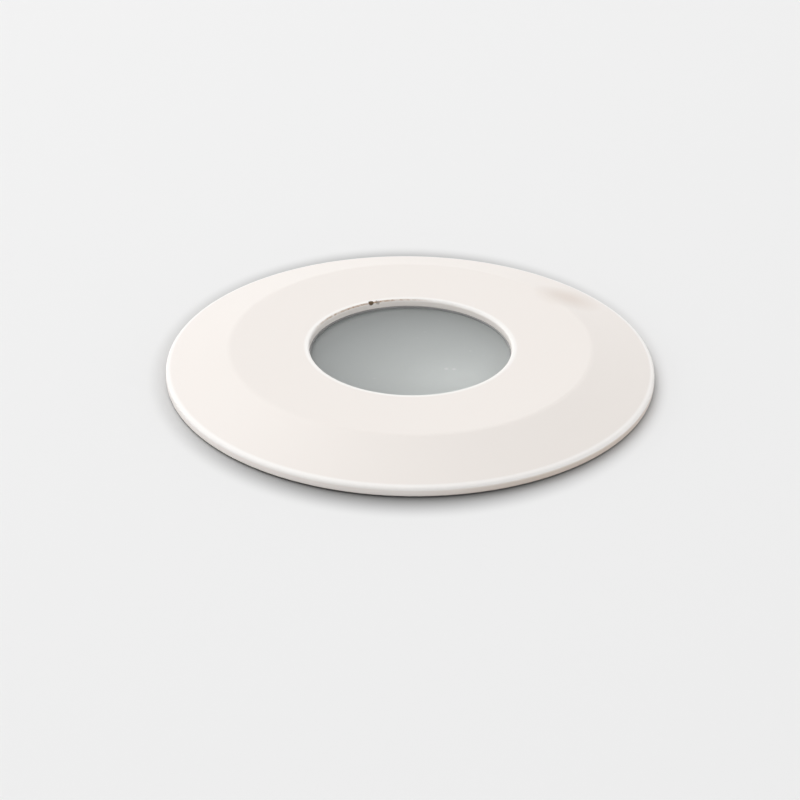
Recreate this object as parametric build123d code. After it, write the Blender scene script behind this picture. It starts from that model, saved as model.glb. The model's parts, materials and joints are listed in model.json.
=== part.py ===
from build123d import *
import math
import os

# Weatherproof recessed light, lying face up. The Z axis is the axis of the round trim, +Z leaves the
# glass, and z = 0 is the surface that the light is let into. All lengths are millimetres.

# How far a cut runs past a face, and how far a rib runs into the wall that carries it
OVERCUT = 1.0
EMBED = 1.0

# Largest share of a wall that a rounded edge may take
ROUND_SHARE = 0.85

# Sides of the gland's nuts
HEX_SIDES = 6

# Lamp: 50 mm reflector lamp with a twist-lock pin base
LAMP_D = 50.0
LAMP_RIM_H = 6.0
LAMP_RIM_CHAMFER = 0.8
LAMP_TAPER_H = 29.0
LAMP_WAIST_D = 31.0
LAMP_FIN_GROOVES = 20
LAMP_GROOVE_W = 1.6
LAMP_GROOVE_DEPTH = 1.4
LENS_T = 2.2
LENS_BORDER = 2.6
LENSLET_D = 9.0
LENSLET_RISE = 0.9
LENSLET_PITCH = 12.0
OUTER_LENSLETS = 6
BASE_SHOULDER_H = 4.0
BASE_SHOULDER_D = 27.0
BASE_H = 12.0
BASE_D = 20.4
PIN_SPACING = 10.0
PIN_D = 3.5
PIN_SHANK_H = 3.8
PIN_HEAD_D = 5.0
PIN_HEAD_H = 3.2
PIN_CHAMFER = 0.4
TWIST_DEG = 20.0

# Trim ring and its sealed glass
TRIM_GAP = 0.2
RIM_HEIGHT = 1.75
RIM_WALL = 2.2
RIM_ROUND = 0.6
RIM_FOOT_ROUND = 0.35
BEVEL_RISE = 4.0
BEVEL_RUN = 11.6
BEVEL_ROUND = 2.5
BEVEL_WALL = 1.8
FACE_PLATE_T = 2.2
OPENING_ROUND = 0.5
LIP_T = 1.4
LIP_REACH = 4.9
TRIM_OVERLAP = 10.0
SKIRT_CLEARANCE = 0.3
SKIRT_WALL = 2.9
SKIRT_TAIL = 1.85
SKIRT_ROUND = 0.6
SEAT_WIDTH = 2.5
TRIM_RIBS = 8
TRIM_RIB_T = 1.4
GLASS_T = 4.0
GLASS_CHAMFER = 0.3
GASKET_LIP_T = 0.35
GASKET_WEB = 0.8
GASKET_PEEP = 0.25
RETAINER_T = 2.0
RETAINER_W = 3.6
RETAINER_CLEARANCE = 0.1
RETAINER_NOTCHES = 4
NOTCH_W = 2.6
NOTCH_DEPTH = 1.5
ORING_GROOVE_W = 2.0
ORING_GROOVE_DEPTH = 1.3
ORING_CLEARANCE = 0.05

# Lamp can
LAMP_GAP = 2.5
LAMP_FRONT_GAP = 1.5
CONE_START_GAP = 1.5
CAN_WALL = 2.5
NECK_BEAD_H = 1.4
NECK_BEAD_REACH = 1.2
PARTITION_T = 2.2
FIN_PITCH_DEG = 15.0
FIN_T = 1.6
FIN_END_GAP = 4.0
FIN_ROOT = 0.5
CLIP_SECTOR_DEG = 29.0

# Mounting flange, screwed to the neck of the can, and the collar that it traps on the neck
MOUTH_CHAMFER = 0.8
FLANGE_T = 1.2
FLANGE_CLEARANCE = 0.3
FLANGE_GASKET_T = 0.6
FLANGE_SCREWS = 4
FLANGE_SCREW_D = 1.9
FLANGE_SCREW_BITE = 5.0
FLANGE_BOSS_D = 3.6
FLANGE_BOSS_REACH = 0.9
COUNTERSINK_D = 3.6
COUNTERSINK_H = 0.85
COLLAR_STEP = 5.0
COLLAR_WALL = 2.0
COLLAR_H = 6.0
COLLAR_RIBS = 12
COLLAR_RIB_T = 1.4
COLLAR_CLEARANCE = 0.05
CUTOUT_CLEARANCE = 1.0
GASKET_EDGE = 0.2

# Pin-base lamp holder
SEAT_GAP = 0.1
HOLDER_D = 27.0
HOLDER_CHAMFER = 0.8
HOLDER_FACE_T = 2.6
HOLDER_FLOOR = 6.6
KEYHOLE_CLEARANCE = 0.25
PIN_END_ROOM = 1.3
CONTACT_T = 0.5
CONTACT_W = 3.2
CONTACT_BUTTON_D = 3.0
CONTACT_TAIL_D = 1.6
CONTACT_GAP = 0.1
CONTACT_EDGE = 1.8
LEAD_SEAT = 1.6
HOLDER_SCREW_EDGE = 4.0
HOLDER_SCREW_DEG = 150.0

# Screws, all with a plain shank, a pan head and a straight slot
SCREW_D = 2.9
SCREW_CLEARANCE = 0.05
SCREW_PASS_CLEARANCE = 0.15
SCREW_HEAD_D = 5.4
SCREW_HEAD_H = 2.0
SCREW_SLOT_W = 0.8
SCREW_SLOT_DEPTH = 0.9
SCREW_BITE = 5.0

# Terminal block, leads and earth
POLES = 3
POLE_PITCH = 8.0
POLE_BORE_D = 4.7
CLAMP_CLEARANCE = 0.05
CLAMP_WALL = 0.8
CLAMP_INSET = 0.6
BLOCK_OFFSET = 4.0
BLOCK_DEPTH = 13.0
BLOCK_H = 9.6
BLOCK_STANDOFF = 2.8
BLOCK_WALL_GAP = 1.2
STANDOFF_D = 4.6
GRUB_D = 2.4
GRUB_HEAD_D = 2.8
GRUB_HEAD_H = 1.8
GRUB_INSET = 3.2
GRUB_GAP = 0.1
FIXING_D = 1.9
FIXING_HEAD_D = 3.2
FIXING_HEAD_H = 1.2
FIXING_COVER = 0.7
FIXING_TIP_GAP = 0.4
LEAD_D = 1.8
LEAD_CLEARANCE = 0.25
LEAD_BITE = 4.6
LEAD_BEND = 3.4
EARTH_DEG = 225.0
LUG_D = 6.4
LUG_T = 0.8
BARREL_WALL = 0.45
BARREL_START = 4.0
BARREL_L = 4.0
BARREL_INSET = 0.5
EARTH_BEND = 2.6

# Rear cover and cable gland
WIRING_ROOM = 2.5
COVER_T = 3.0
COVER_GASKET_T = 1.0
COVER_CHAMFER = 0.7
COVER_SCREWS = 4
BOSS_D = 6.8
LUG_BLEND = 1.5
BOSS_STANDOUT = 2.0
BOSS_H = 12.0
SPIGOT_CLEARANCE = 0.3
SPIGOT_WALL = 1.5
SPIGOT_H = 2.0
GLAND_D = 16.0
GLAND_SHOULDER = 2.0
GLAND_CLEARANCE = 0.15
GLAND_HEX_H = 4.0
GLAND_SPIGOT_WALL = 1.2
GLAND_SPIGOT_H = 5.5
GLAND_WASHER_T = 0.8
LOCKNUT_T = 3.5
SHANK_PROUD = 0.3
CABLE_D = 8.0
SEAL_WALL = 2.1
SEAL_H = 7.0
SEAL_INSET = 4.5
SEAL_CLEARANCE = 0.1
GLAND_NUT_GAP = 0.6
GLAND_NUT_CLEARANCE = 0.2
GLAND_NUT_MOUTH = 1.2
GLAND_NUT_MOUTH_T = 2.4
GLAND_NUT_DOME = 2.5
GLAND_NUT_DOME_START = 1.0

# Spring clips
CLIP_REST_DEG = 50.0
CLIP_REACH = 32.0
CLIP_W = 13.4
CLIP_SIDE_GAP = 0.3
BLADE_T = 0.8
BEND_R = 2.2
BEND_DEG = 60.0
CLIP_LIP = 4.0
BEAD_D = 3.2
BEAD_RISE = 0.6
BEAD_MARGIN = 5.0
PAD_T = 0.8
PAD_COVER = 1.5
PIVOT_D = 2.0
PIVOT_CLEARANCE = 0.05
PIVOT_HEAD_D = 3.4
PIVOT_HEAD_T = 0.6
KNUCKLE_W = 2.5
CLIP_NOTCH = 8.5
BRACKET_T = 1.0
BRACKET_H = 17.0
BRACKET_TOP_GAP = 0.5
PAD_RISE = 0.9
PAD_MARGIN = 0.6
EAR_R = 2.2
EAR_DROP = 9.0
STOP_REACH = 0.2
STOP_GAP = 0.12
RIVET_D = 2.5
RIVET_HEAD_D = 4.2
RIVET_HEAD_T = 0.9
RIVET_CHAMFER = 0.4
RIVET_BITE = 2.6
RIVET_EDGE = 3.0
WIRE_D = 0.8
COIL_GAP = 0.5
COIL_MEAN_R = 2.1
COIL_TURNS = 4
COIL_PLATE_GAP = 0.7
LEG_BASE = 6.5
LEG_UNDER = 2.0
LEG_TOUCH = 0.05

# Radii, from the lamp outwards
LAMP_R = LAMP_D / 2
BORE_R = LAMP_R + LAMP_GAP
SKIRT_R = BORE_R - SKIRT_CLEARANCE
POCKET_R = SKIRT_R - SKIRT_WALL
GLASS_R = POCKET_R - GASKET_WEB
OPENING_R = GLASS_R - LIP_REACH
NECK_R = BORE_R + CAN_WALL
COLLAR_R = NECK_R + COLLAR_STEP
CUTOUT_R = COLLAR_R + CUTOUT_CLEARANCE
TRIM_R = COLLAR_R + TRIM_OVERLAP
FLAT_R = TRIM_R - BEVEL_RUN
SEAT_R = SKIRT_R + SEAT_WIDTH
RETAINER_R = POCKET_R - RETAINER_CLEARANCE
RETAINER_IN_R = POCKET_R - RETAINER_W
BLOCK_HALF_W = POLES * POLE_PITCH / 2
BLOCK_FAR = BLOCK_OFFSET + BLOCK_DEPTH
REAR_IN_R = math.hypot(BLOCK_HALF_W, BLOCK_FAR) + BLOCK_WALL_GAP
REAR_R = REAR_IN_R + CAN_WALL
BOSS_RING_R = REAR_R + BOSS_STANDOUT
HOLDER_R = HOLDER_D / 2
HOLDER_SCREW_R = HOLDER_R - HOLDER_SCREW_EDGE
HOLDER_CAVITY_R = POLE_PITCH + CONTACT_EDGE
GLAND_FLATS = GLAND_D + 2 * GLAND_SHOULDER

# Heights, from the surface up to the face
RIM_FOOT_Z = TRIM_GAP
RIM_Z = RIM_FOOT_Z + RIM_HEIGHT
FACE_Z = RIM_Z + BEVEL_RISE
LIP_Z = FACE_Z - LIP_T
GLASS_TOP_Z = LIP_Z - GASKET_LIP_T
GLASS_FOOT_Z = GLASS_TOP_Z - GLASS_T
RETAINER_TOP_Z = GLASS_FOOT_Z - GASKET_LIP_T
RETAINER_FOOT_Z = RETAINER_TOP_Z - RETAINER_T
SKIRT_FOOT_Z = RETAINER_FOOT_Z - SKIRT_TAIL
FLANGE_FOOT_Z = FLANGE_GASKET_T
FLANGE_Z = FLANGE_FOOT_Z + FLANGE_T
ROOF_Z = FACE_Z - FACE_PLATE_T

# Heights, from the glass down to the cable gland
LAMP_FRONT_Z = SKIRT_FOOT_Z - LAMP_FRONT_GAP
LAMP_RIM_Z = LAMP_FRONT_Z - LAMP_RIM_H
LAMP_WAIST_Z = LAMP_RIM_Z - LAMP_TAPER_H
BASE_SHOULDER_Z = LAMP_WAIST_Z - BASE_SHOULDER_H
LAMP_END_Z = LAMP_WAIST_Z - BASE_H
PIN_NECK_Z = LAMP_END_Z - PIN_SHANK_H
PIN_END_Z = PIN_NECK_Z - PIN_HEAD_H
HOLDER_Z = LAMP_END_Z - SEAT_GAP
HOLDER_CAVITY_Z = HOLDER_Z - HOLDER_FACE_T
HOLDER_CAVITY_FOOT_Z = PIN_END_Z - PIN_END_ROOM
HOLDER_FOOT_Z = HOLDER_CAVITY_FOOT_Z - HOLDER_FLOOR
LEAD_TOP_Z = HOLDER_CAVITY_FOOT_Z - LEAD_SEAT
PARTITION_FOOT_Z = HOLDER_FOOT_Z - PARTITION_T
BLOCK_Z = PARTITION_FOOT_Z - BLOCK_STANDOFF
BLOCK_FOOT_Z = BLOCK_Z - BLOCK_H
POLE_Z = (BLOCK_Z + BLOCK_FOOT_Z) / 2
SHANK_TOP_Z = BLOCK_FOOT_Z - FIXING_HEAD_H - WIRING_ROOM
LOCKNUT_Z = SHANK_TOP_Z - SHANK_PROUD
COVER_IN_Z = LOCKNUT_Z - LOCKNUT_T
REAR_RIM_Z = COVER_IN_Z + COVER_GASKET_T
COVER_OUT_Z = COVER_IN_Z - COVER_T
GLAND_HEX_Z = COVER_OUT_Z - GLAND_WASHER_T
GLAND_SPIGOT_Z = GLAND_HEX_Z - GLAND_HEX_H
GLAND_SPIGOT_FOOT_Z = GLAND_SPIGOT_Z - GLAND_SPIGOT_H
GLAND_NUT_Z = GLAND_SPIGOT_Z - GLAND_NUT_GAP
SEAL_Z = GLAND_SPIGOT_FOOT_Z + SEAL_INSET
SEAL_FOOT_Z = SEAL_Z - SEAL_H
GLAND_NUT_CONE_Z = SEAL_FOOT_Z - GLAND_NUT_GAP
GLAND_NUT_FOOT_Z = GLAND_NUT_CONE_Z - GLAND_NUT_MOUTH_T

# Bevel of the trim: its inner face is parallel to the outer one, and the can's flange ends below it
BEVEL_SLOPE = BEVEL_RISE / BEVEL_RUN
BEVEL_DROP = BEVEL_WALL * math.hypot(1, BEVEL_SLOPE)
FLANGE_R = TRIM_R - (FLANGE_Z + FLANGE_CLEARANCE - RIM_Z + BEVEL_DROP) / BEVEL_SLOPE

# Cone of the can: parallel to the lamp's own taper
LAMP_TAPER = (LAMP_R - LAMP_WAIST_D / 2) / LAMP_TAPER_H
CONE_Z = LAMP_RIM_Z - CONE_START_GAP
CONE_FOOT_Z = CONE_Z - (BORE_R - REAR_IN_R) / LAMP_TAPER

# Spring clip, seen along its pivot pin
PIVOT_R = PIVOT_D / 2
KNUCKLE_IN_R = PIVOT_R + PIVOT_CLEARANCE
KNUCKLE_R = KNUCKLE_IN_R + BLADE_T
COIL_R = COIL_MEAN_R + WIRE_D / 2
PAD_X = REAR_R + PAD_RISE
BRACKET_X = PAD_X + BRACKET_T
PIVOT_X = BRACKET_X + COIL_R + COIL_PLATE_GAP
REST = math.radians(CLIP_REST_DEG)
STOP_RISE = (KNUCKLE_R + STOP_GAP + math.sin(REST) * STOP_REACH) / math.cos(REST)
BRACKET_Z = CONE_FOOT_Z - BRACKET_TOP_GAP
BRACKET_FOOT_Z = BRACKET_Z - BRACKET_H
PIVOT_Z = BRACKET_Z - BRACKET_T - STOP_RISE
EAR_IN_Y = CLIP_W / 2 + CLIP_SIDE_GAP
EAR_OUT_Y = EAR_IN_Y + BRACKET_T
RIVET_Y = EAR_OUT_Y - RIVET_EDGE
RIVET_Z = BRACKET_FOOT_Z + RIVET_EDGE
SIDES = {"right": 0, "left": 180}


def block(x0, x1, y0, y1, z0, z1):
    """Box between two corners."""
    return Pos((x0 + x1) / 2, (y0 + y1) / 2, (z0 + z1) / 2) * Box(x1 - x0, y1 - y0, z1 - z0)


def rod(d, z0, z1, x=0.0, y=0.0):
    """Upright cylinder between two heights."""
    return Pos(x, y, (z0 + z1) / 2) * Cylinder(d / 2, abs(z1 - z0))


def tube(d_out, d_in, z0, z1, x=0.0, y=0.0):
    """Upright tube between two heights."""
    return rod(d_out, z0, z1, x, y) - rod(d_in, min(z0, z1) - OVERCUT, max(z0, z1) + OVERCUT, x, y)


def rod_y(d, y0, y1, x=0.0, z=0.0):
    """Cylinder along Y between two places."""
    return Pos(x, (y0 + y1) / 2, z) * Rot(90, 0, 0) * Cylinder(d / 2, abs(y1 - y0))


def rod_x(d, x0, x1, y=0.0, z=0.0):
    """Cylinder along X between two places."""
    return Pos((x0 + x1) / 2, y, z) * Rot(0, 90, 0) * Cylinder(d / 2, abs(x1 - x0))


def hexagon(flats, z0, z1):
    """Upright hexagonal bar."""
    section = RegularPolygon(flats / 2, HEX_SIDES, major_radius=False)
    return Pos(0, 0, min(z0, z1)) * extrude(section, abs(z1 - z0))


def turned(*points):
    """Solid turned about the Z axis from (radius, height) points."""
    return revolve(Plane.XZ * make_face(Polyline(*points, close=True)), Axis.Z)


def rounded(outline, corner, radius):
    """Outline with the corner nearest to a point rounded off."""
    return fillet(outline.vertices().sort_by_distance((*corner, 0))[0], radius)


def polar(radius, degrees):
    """Point on a circle about the Z axis."""
    return radius * math.cos(math.radians(degrees)), radius * math.sin(math.radians(degrees))


def slotted_screw(head_z, tip_z, x=0.0, y=0.0, d=SCREW_D, head_d=SCREW_HEAD_D, head_h=SCREW_HEAD_H):
    """Pan-head screw driven from below: its head hangs under head_z and its tip is at tip_z."""
    head = rod(head_d, head_z - head_h, head_z, x, y)
    slot_z = head_z - head_h
    slot = block(x - head_d, x + head_d, y - SCREW_SLOT_W / 2, y + SCREW_SLOT_W / 2,
                 slot_z, slot_z + min(SCREW_SLOT_DEPTH, head_h / 2))
    return rod(d, head_z, tip_z, x, y) + head - slot


# Trim


def trim_ring():
    inner_foot_z = RIM_Z + RIM_WALL * BEVEL_SLOPE - BEVEL_DROP
    roof_edge_r = TRIM_R - (ROOF_Z - RIM_Z + BEVEL_DROP) / BEVEL_SLOPE
    outline = make_face(Polyline(
        (TRIM_R, RIM_FOOT_Z), (TRIM_R, RIM_Z), (FLAT_R, FACE_Z), (OPENING_R, FACE_Z),
        (OPENING_R, LIP_Z), (POCKET_R, LIP_Z), (POCKET_R, SKIRT_FOOT_Z), (SKIRT_R, SKIRT_FOOT_Z),
        (SKIRT_R, FLANGE_Z), (SEAT_R, FLANGE_Z), (SEAT_R, ROOF_Z), (roof_edge_r, ROOF_Z),
        (TRIM_R - RIM_WALL, inner_foot_z), (TRIM_R - RIM_WALL, RIM_FOOT_Z), close=True))
    outline = rounded(outline, (FLAT_R, FACE_Z), BEVEL_ROUND)
    outline = rounded(outline, (TRIM_R, RIM_Z), RIM_ROUND)
    outline = rounded(outline, (TRIM_R, RIM_FOOT_Z), RIM_FOOT_ROUND)
    outline = rounded(outline, (OPENING_R, FACE_Z), min(OPENING_ROUND, ROUND_SHARE * LIP_T))
    outline = rounded(outline, (SKIRT_R, SKIRT_FOOT_Z), SKIRT_ROUND)
    ring = revolve(Plane.XZ * outline, Axis.Z)
    rib_r = FLANGE_R - (ROOF_Z - FLANGE_Z)
    rib = block(SEAT_R - EMBED, rib_r, -TRIM_RIB_T / 2, TRIM_RIB_T / 2,
                FLANGE_Z + FLANGE_CLEARANCE, ROOF_Z + FACE_PLATE_T / 2)
    ribs = [Rot(0, 0, 360 * i / TRIM_RIBS) * rib for i in range(TRIM_RIBS)]
    envelope = turned((SKIRT_R, FLANGE_Z), (TRIM_R - RIM_WALL, inner_foot_z), (roof_edge_r, ROOF_Z),
                      (roof_edge_r, ROOF_Z + FACE_PLATE_T / 2), (SKIRT_R, ROOF_Z + FACE_PLATE_T / 2))
    ring += [r & envelope for r in ribs]
    groove_z = oring_z()
    return ring - tube(2 * (SKIRT_R + OVERCUT), 2 * (SKIRT_R - ORING_GROOVE_DEPTH),
                       groove_z - ORING_GROOVE_W / 2, groove_z + ORING_GROOVE_W / 2)


def oring_z():
    """Height of the seal groove: half way down the part of the skirt that is inside the can."""
    return (FLANGE_Z - MOUTH_CHAMFER + SKIRT_FOOT_Z) / 2


def trim_o_ring():
    inner_r = SKIRT_R - ORING_GROOVE_DEPTH + ORING_CLEARANCE
    outer_r = BORE_R - ORING_CLEARANCE
    section_r = (outer_r - inner_r) / 2
    return Pos(0, 0, oring_z()) * Torus((outer_r + inner_r) / 2, section_r)


def front_glass():
    return chamfer(rod(2 * GLASS_R, GLASS_FOOT_Z, GLASS_TOP_Z).edges(), GLASS_CHAMFER)


def glass_gasket():
    lip_r = OPENING_R - GASKET_PEEP
    return turned(
        (POCKET_R, RETAINER_TOP_Z), (POCKET_R, LIP_Z), (lip_r, LIP_Z), (lip_r, GLASS_TOP_Z),
        (GLASS_R, GLASS_TOP_Z), (GLASS_R, GLASS_FOOT_Z), (RETAINER_IN_R, GLASS_FOOT_Z),
        (RETAINER_IN_R, RETAINER_TOP_Z))


def glass_retaining_ring():
    ring = tube(2 * RETAINER_R, 2 * RETAINER_IN_R, RETAINER_FOOT_Z, RETAINER_TOP_Z)
    notch = block(RETAINER_IN_R - OVERCUT, RETAINER_IN_R + NOTCH_DEPTH, -NOTCH_W / 2, NOTCH_W / 2,
                  RETAINER_FOOT_Z - OVERCUT, RETAINER_TOP_Z + OVERCUT)
    return ring - [Rot(0, 0, 360 * i / RETAINER_NOTCHES) * notch for i in range(RETAINER_NOTCHES)]


# Mounting flange and locating collar


def flange_screw_places():
    radius = NECK_R + FLANGE_BOSS_REACH
    return [polar(radius, 360 * (i + 0.5) / FLANGE_SCREWS) for i in range(FLANGE_SCREWS)]


def countersunk(grow, tip_z):
    """Outline of a countersunk screw driven from above, grown all round by a clearance."""
    head_r, shank_r = COUNTERSINK_D / 2 + grow, FLANGE_SCREW_D / 2 + grow
    top_z = FLANGE_Z - SCREW_CLEARANCE + grow
    neck_z = top_z - COUNTERSINK_H
    return turned((0, top_z), (head_r, top_z), (shank_r, neck_z), (shank_r, tip_z), (0, tip_z))


def mounting_flange():
    """Flat ring with a chamfered mouth, which the trim seats on."""
    ring = turned((BORE_R, FLANGE_FOOT_Z), (BORE_R, FLANGE_Z - MOUTH_CHAMFER),
                  (BORE_R + MOUTH_CHAMFER, FLANGE_Z), (FLANGE_R, FLANGE_Z), (FLANGE_R, FLANGE_FOOT_Z))
    hole = countersunk(SCREW_CLEARANCE, FLANGE_FOOT_Z - OVERCUT)
    return ring - [Pos(*p) * hole for p in flange_screw_places()]


def mounting_flange_screws():
    screw = countersunk(0, FLANGE_FOOT_Z - FLANGE_SCREW_BITE)
    screw -= block(-COUNTERSINK_D, COUNTERSINK_D, -SCREW_SLOT_W / 2, SCREW_SLOT_W / 2,
                   FLANGE_Z - COUNTERSINK_H / 2, FLANGE_Z + OVERCUT)
    return [Pos(*p) * screw for p in flange_screw_places()]


def locating_collar():
    """Hollow ring that centres the light in its cut-out, with webs that bear on the neck."""
    inner_r = COLLAR_R - COLLAR_WALL
    web = block(NECK_R + COLLAR_CLEARANCE, inner_r + COLLAR_WALL / 2, -COLLAR_RIB_T / 2, COLLAR_RIB_T / 2,
                -COLLAR_H, FLANGE_FOOT_Z)
    ring = tube(2 * COLLAR_R, 2 * inner_r, -COLLAR_H, FLANGE_FOOT_Z)
    return ring + [Rot(0, 0, 360 * i / COLLAR_RIBS) * web for i in range(COLLAR_RIBS)]


def flange_gasket():
    return tube(2 * FLANGE_R, 2 * (CUTOUT_R + GASKET_EDGE), 0, FLANGE_FOOT_Z)


# Lamp can


def fin_angles():
    """Angles of the cooling fins, which leave both clip sectors free."""
    steps = [i * FIN_PITCH_DEG for i in range(int(360 / FIN_PITCH_DEG))]
    return [a for a in steps if min(a % 180, 180 - a % 180) >= CLIP_SECTOR_DEG]


def cover_screw_places():
    return [polar(BOSS_RING_R, 360 * (i + 0.5) / COVER_SCREWS) for i in range(COVER_SCREWS)]


def holder_screw_places():
    return [polar(HOLDER_SCREW_R, HOLDER_SCREW_DEG + turn) for turn in (0, 180)]


def lead_places():
    """Where the two lamp leads pass through the partition: in line with the outer poles."""
    return [(-POLE_PITCH, 0.0), (POLE_PITCH, 0.0)]


def standoff_places():
    return [(side * POLE_PITCH / 2, (BLOCK_OFFSET + BLOCK_FAR) / 2) for side in (-1, 1)]


def earth_place():
    return polar((HOLDER_R + REAR_IN_R) / 2, EARTH_DEG)


def lamp_chamber():
    return turned(
        (0, FLANGE_Z), (BORE_R, FLANGE_Z), (BORE_R, CONE_Z), (REAR_IN_R, CONE_FOOT_Z),
        (REAR_IN_R, HOLDER_FOOT_Z), (0, HOLDER_FOOT_Z))


def can_shell():
    """Outside of the can: neck with the bead that the collar rests on, cone and rear barrel."""
    bead_r = NECK_R + NECK_BEAD_REACH
    bead_foot_z = -COLLAR_H - NECK_BEAD_H
    shell = turned(
        (0, FLANGE_FOOT_Z), (NECK_R, FLANGE_FOOT_Z), (NECK_R, -COLLAR_H), (bead_r, -COLLAR_H),
        (bead_r, bead_foot_z + NECK_BEAD_REACH / 2), (NECK_R, bead_foot_z), (NECK_R, CONE_Z),
        (REAR_R, CONE_FOOT_Z), (REAR_R, REAR_RIM_Z), (0, REAR_RIM_Z))
    return shell + [rod(FLANGE_BOSS_D, -COLLAR_H, FLANGE_FOOT_Z, *p) for p in flange_screw_places()]


def cooling_fin():
    """Fin that carries the line of the neck down the barrel, cut back at its rear corner."""
    foot_z = REAR_RIM_Z + FIN_END_GAP
    slope = NECK_R - REAR_R
    outline = make_face(Polyline(
        (REAR_IN_R + FIN_ROOT, CONE_Z), (NECK_R, CONE_Z), (NECK_R, foot_z + slope), (REAR_R, foot_z),
        (REAR_IN_R + FIN_ROOT, foot_z), close=True))
    return extrude(Plane.XZ * outline, FIN_T / 2, both=True)


def clip_pad():
    """Flat cast boss that a clip bracket is riveted to."""
    half_w = EAR_OUT_Y + PAD_MARGIN
    return block(REAR_IN_R - EMBED, PAD_X, -half_w, half_w, BRACKET_FOOT_Z - PAD_MARGIN, BRACKET_Z)


def rivet_hole(y):
    """Blind hole in a pad for one rivet."""
    return rod_x(RIVET_D + 2 * SCREW_CLEARANCE, PAD_X - RIVET_BITE, PAD_X + OVERCUT, y, RIVET_Z)


def housing():
    can = can_shell()
    can += [Rot(0, 0, a) * cooling_fin() for a in fin_angles()]
    can += [rod(BOSS_D, REAR_RIM_Z, REAR_RIM_Z + BOSS_H, *p) for p in cover_screw_places()]
    can += [Rot(0, 0, turn) * clip_pad() for turn in SIDES.values()]
    can -= [Rot(0, 0, turn) * rivet_hole(y) for turn in SIDES.values() for y in (-RIVET_Y, RIVET_Y)]
    can -= lamp_chamber()
    can -= rod(2 * REAR_IN_R, REAR_RIM_Z - OVERCUT, PARTITION_FOOT_Z)
    can += [rod(STANDOFF_D, BLOCK_Z, PARTITION_FOOT_Z, *p) for p in standoff_places()]
    pilot_d = SCREW_D + 2 * SCREW_CLEARANCE
    flange_hole_d = FLANGE_SCREW_D + 2 * SCREW_CLEARANCE
    flange_hole_z = (FLANGE_FOOT_Z - FLANGE_SCREW_BITE - CONTACT_GAP, FLANGE_Z)
    can -= [rod(flange_hole_d, *flange_hole_z, *p) for p in flange_screw_places()]
    boss_z = (REAR_RIM_Z - OVERCUT, REAR_RIM_Z + BOSS_H - CAN_WALL)
    can -= [rod(pilot_d, *boss_z, *p) for p in cover_screw_places()]
    through_z = (PARTITION_FOOT_Z - OVERCUT, HOLDER_FOOT_Z + OVERCUT)
    can -= [rod(SCREW_D + 2 * SCREW_PASS_CLEARANCE, *through_z, *p) for p in holder_screw_places()]
    can -= [rod(LEAD_D + 2 * LEAD_CLEARANCE, *through_z, *p) for p in lead_places()]
    can -= rod(pilot_d, *through_z, *earth_place())
    fixing_z = (BLOCK_Z - OVERCUT, HOLDER_FOOT_Z - FIXING_COVER)
    fixing_hole_d = FIXING_D + 2 * SCREW_CLEARANCE
    return can - [rod(fixing_hole_d, *fixing_z, *p) for p in standoff_places()]


# Lamp holder and lamp


def keyholes():
    """Arc slots for the pin shanks, each with an entry hole for the pin head."""
    pin_r = PIN_SPACING / 2
    slots = Sketch()
    for start in SIDES.values():
        slots += SlotArc(CenterArc((0, 0), pin_r, start, TWIST_DEG), PIN_D + 2 * KEYHOLE_CLEARANCE)
        entry = polar(pin_r, start + TWIST_DEG)
        slots += Pos(*entry) * Circle(PIN_HEAD_D / 2 + KEYHOLE_CLEARANCE)
    return slots


def lamp_holder():
    body = rod(HOLDER_D, HOLDER_FOOT_Z, HOLDER_Z)
    body = chamfer(body.edges().group_by(Axis.Z)[-1], HOLDER_CHAMFER)
    body -= rod(2 * HOLDER_CAVITY_R, HOLDER_CAVITY_FOOT_Z, HOLDER_CAVITY_Z)
    body -= Pos(0, 0, HOLDER_CAVITY_Z - OVERCUT) * extrude(keyholes(), HOLDER_FACE_T + 2 * OVERCUT)
    tail_z = (LEAD_TOP_Z - OVERCUT, HOLDER_CAVITY_FOOT_Z + OVERCUT)
    for place in lead_places():
        body -= rod(LEAD_D + 2 * LEAD_CLEARANCE, HOLDER_FOOT_Z - OVERCUT, LEAD_TOP_Z, *place)
        body -= rod(CONTACT_TAIL_D + 2 * SCREW_CLEARANCE, *tail_z, *place)
    pilot_d = SCREW_D + 2 * SCREW_CLEARANCE
    pilot_z = (HOLDER_FOOT_Z - OVERCUT, HOLDER_FOOT_Z + SCREW_BITE + CONTACT_GAP)
    return body - [rod(pilot_d, *pilot_z, *p) for p in holder_screw_places()]


def lamp_holder_contacts():
    """Two contact strips, each with a button under its pin and a tail down to its lead."""
    pin_x = PIN_SPACING / 2
    floor_z = HOLDER_CAVITY_FOOT_Z
    strip = block(pin_x - CONTACT_BUTTON_D / 2, POLE_PITCH + CONTACT_EDGE / 2,
                  -CONTACT_W / 2, CONTACT_W / 2, floor_z, floor_z + CONTACT_T)
    strip += rod(CONTACT_BUTTON_D, floor_z, PIN_END_Z - CONTACT_GAP, pin_x)
    strip += rod(CONTACT_TAIL_D, LEAD_TOP_Z, floor_z + CONTACT_T, POLE_PITCH)
    return [Rot(0, 0, turn) * strip for turn in SIDES.values()]


def lamp_holder_screws():
    tip_z = HOLDER_FOOT_Z + SCREW_BITE
    return [slotted_screw(PARTITION_FOOT_Z, tip_z, *p) for p in holder_screw_places()]


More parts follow.
